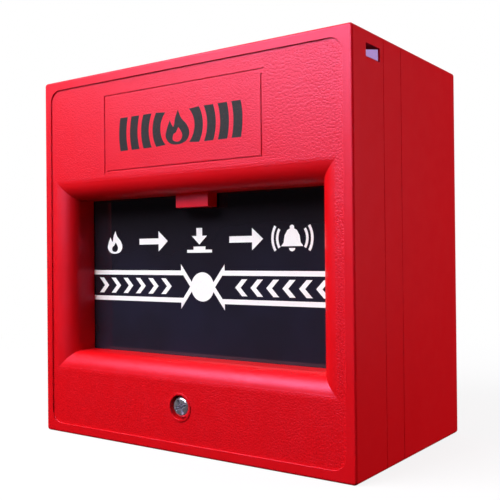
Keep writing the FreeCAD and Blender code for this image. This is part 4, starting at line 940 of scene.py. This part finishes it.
def chip(shape, x, z, across, up, tall, legs):
    """A small-outline chip with gull-wing legs on its long sides."""
    seat, soft = 0.12 * MM, 0.12 * MM
    body = block((-across / 2, -up / 2, seat), (across / 2, up / 2, tall), soft)
    shape.add(*body, FINISHES["chip_plastic"], on_board(x, z))
    dot, proud, sunk, inset = 0.32 * MM, 0.005 * MM, 0.05 * MM, 0.9 * MM
    dimple = [(0, tall + proud), (dot, tall + proud), (dot, tall - sunk), (0, tall - sunk)]
    shape.add(*turned(dimple, 20), SILK, on_board(x - across / 2 + inset, z - up / 2 + inset))
    half, thick = 0.18 * MM, 0.14 * MM
    knee = tall * 0.55
    bends = [(up / 2 - 0.1 * MM, knee), (up / 2 + 0.25 * MM, knee)]
    bends += [(up / 2 + 0.45 * MM, 0.14 * MM), (up / 2 + 1.0 * MM, 0.10 * MM)]
    pitch = across / (legs + 0.6)
    for number in range(legs):
        at = (number - (legs - 1) / 2) * pitch
        for side in (-1, 1):
            rings = []
            for out, height in bends:
                foot = [(at - half, side * out, height), (at + half, side * out, height)]
                top = [(px, py, pz + thick) for px, py, pz in reversed(foot)]
                rings.append(foot + top)
            shape.add(*join_rings(rings), TIN, on_board(x, z))


def board_components():
    """Logic, bridge and relay chips, and a can capacitor with a sleeve below its bare top."""
    chips = Shape()
    chip(chips, -14 * MM, BOARD_Z + 10 * MM, 8.6 * MM, 4.6 * MM, 1.6 * MM, 7)
    chip(chips, 13 * MM, BOARD_Z + 12 * MM, 4.8 * MM, 2.6 * MM, 1.5 * MM, 2)
    chip(chips, -14 * MM, BOARD_Z + 1 * MM, 5.8 * MM, 3.0 * MM, 2.2 * MM, 3)
    chips.piece("board_chips", "base", "chip_plastic", ["board_components"])
    place = on_board(14 * MM, BOARD_Z + 4 * MM)
    radius, tall = 2.5 * MM, 5 * MM
    waist, shoulder, rim = radius * 0.93, radius * 0.95, radius * 0.84
    sleeve = [(0, 0), (radius, 0), (radius, 0.7 * MM), (waist, 0.85 * MM), (waist, 1.05 * MM)]
    sleeve += [(radius, 1.2 * MM), (radius, tall - 0.35 * MM), (shoulder, tall - 0.1 * MM)]
    sleeve += [(rim, tall - 0.02 * MM), (radius * 0.80, tall - 0.1 * MM), (0, tall - 0.1 * MM)]
    lid_radius, lid_top, lid_foot = radius * 0.79, tall - 0.09 * MM, tall - 0.3 * MM
    lid = [(0, lid_top), (lid_radius, lid_top), (lid_radius, lid_foot), (0, lid_foot)]
    can = Shape().add(*turned(sleeve, 40), CAN_SLEEVE, place)
    can.add(*turned(lid, 40), TIN, place)
    can.piece("board_capacitor", "base", "chip_plastic")


def board_details():
    """Copper tracks under the mask, and gilt rings round the screw holes."""
    shape = Shape()
    thick, half_width, buried = 0.035 * MM, 0.3 * MM, 0.01 * MM
    lap = 0.1 * MM
    runs = [
        [(-20, -2), (-20, 6), (-18, 8)], [(-9, 10), (-6, 12.8), (-6.8, 15)], [(4, 15), (8, 15), (10, 13)],
        [(-9, 8), (-7, 6), (4, 6), (6, 8), (6, 10.6)], [(-10, 1), (-4, 1), (0, -3), (0, -8)],
        [(16.5, 4), (19, 2), (19, -8), (12, -11)], [(-17, 1), (-18.5, -1), (-18.5, -6), (-13, -10)],
        [(10, 11), (8, 9), (8, -1), (3, -6), (3, -9)], [(15.5, 12), (20, 8.5), (21.5, 4), (21.5, -5)],
    ]
    for run in runs:
        for (x0, z0), (x1, z1) in zip(run, run[1:]):
            start, end = Vector((x0, z0)) * MM, Vector((x1, z1)) * MM
            along = (end - start).normalized()
            side = Vector((-along.y, along.x)) * half_width
            start -= along * lap
            end += along * lap
            corners = [start - side, end - side, end + side, start + side]
            low_ring = [(p.x, BOARD_FACE + buried, BOARD_Z + p.y) for p in corners]
            high_ring = [(p.x, BOARD_FACE - thick, BOARD_Z + p.y) for p in corners]
            shape.add(*join_rings([low_ring, high_ring]), TRACE)
    low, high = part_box("board_screws")
    head = 2 * MM
    bore, rim, top = 1.2 * MM, 2.9 * MM, 0.05 * MM
    ring = [(bore, 0), (rim, 0), (rim - top, top), (bore, top)]
    angles = [2 * math.pi * k / 36 for k in range(36)]
    rings = [circle_ring(radius, height, angles) for radius, height in ring]
    gilt = join_rings(rings + rings[:1], close_ends=False)
    for x in (low.x + head, high.x - head):
        for z in (low.z + head, high.z - head):
            shape.add(*gilt, GOLD, on_board(x, z))
    shape.piece("board_tracks", "base", "board")


# ---- put together ----

finish_cad_nodes()
lay_floor()
light_the_stage()
point_camera()
print_label()
print_pane()
all_screws()
pane_springs()
snap_blade()
switch_wires()
banded_resistor("line_resistor", ("yellow", "violet", "brown", "gold"))
banded_resistor("alarm_resistor", ("brown", "black", "brown", "gold"))
board_components()
board_details()
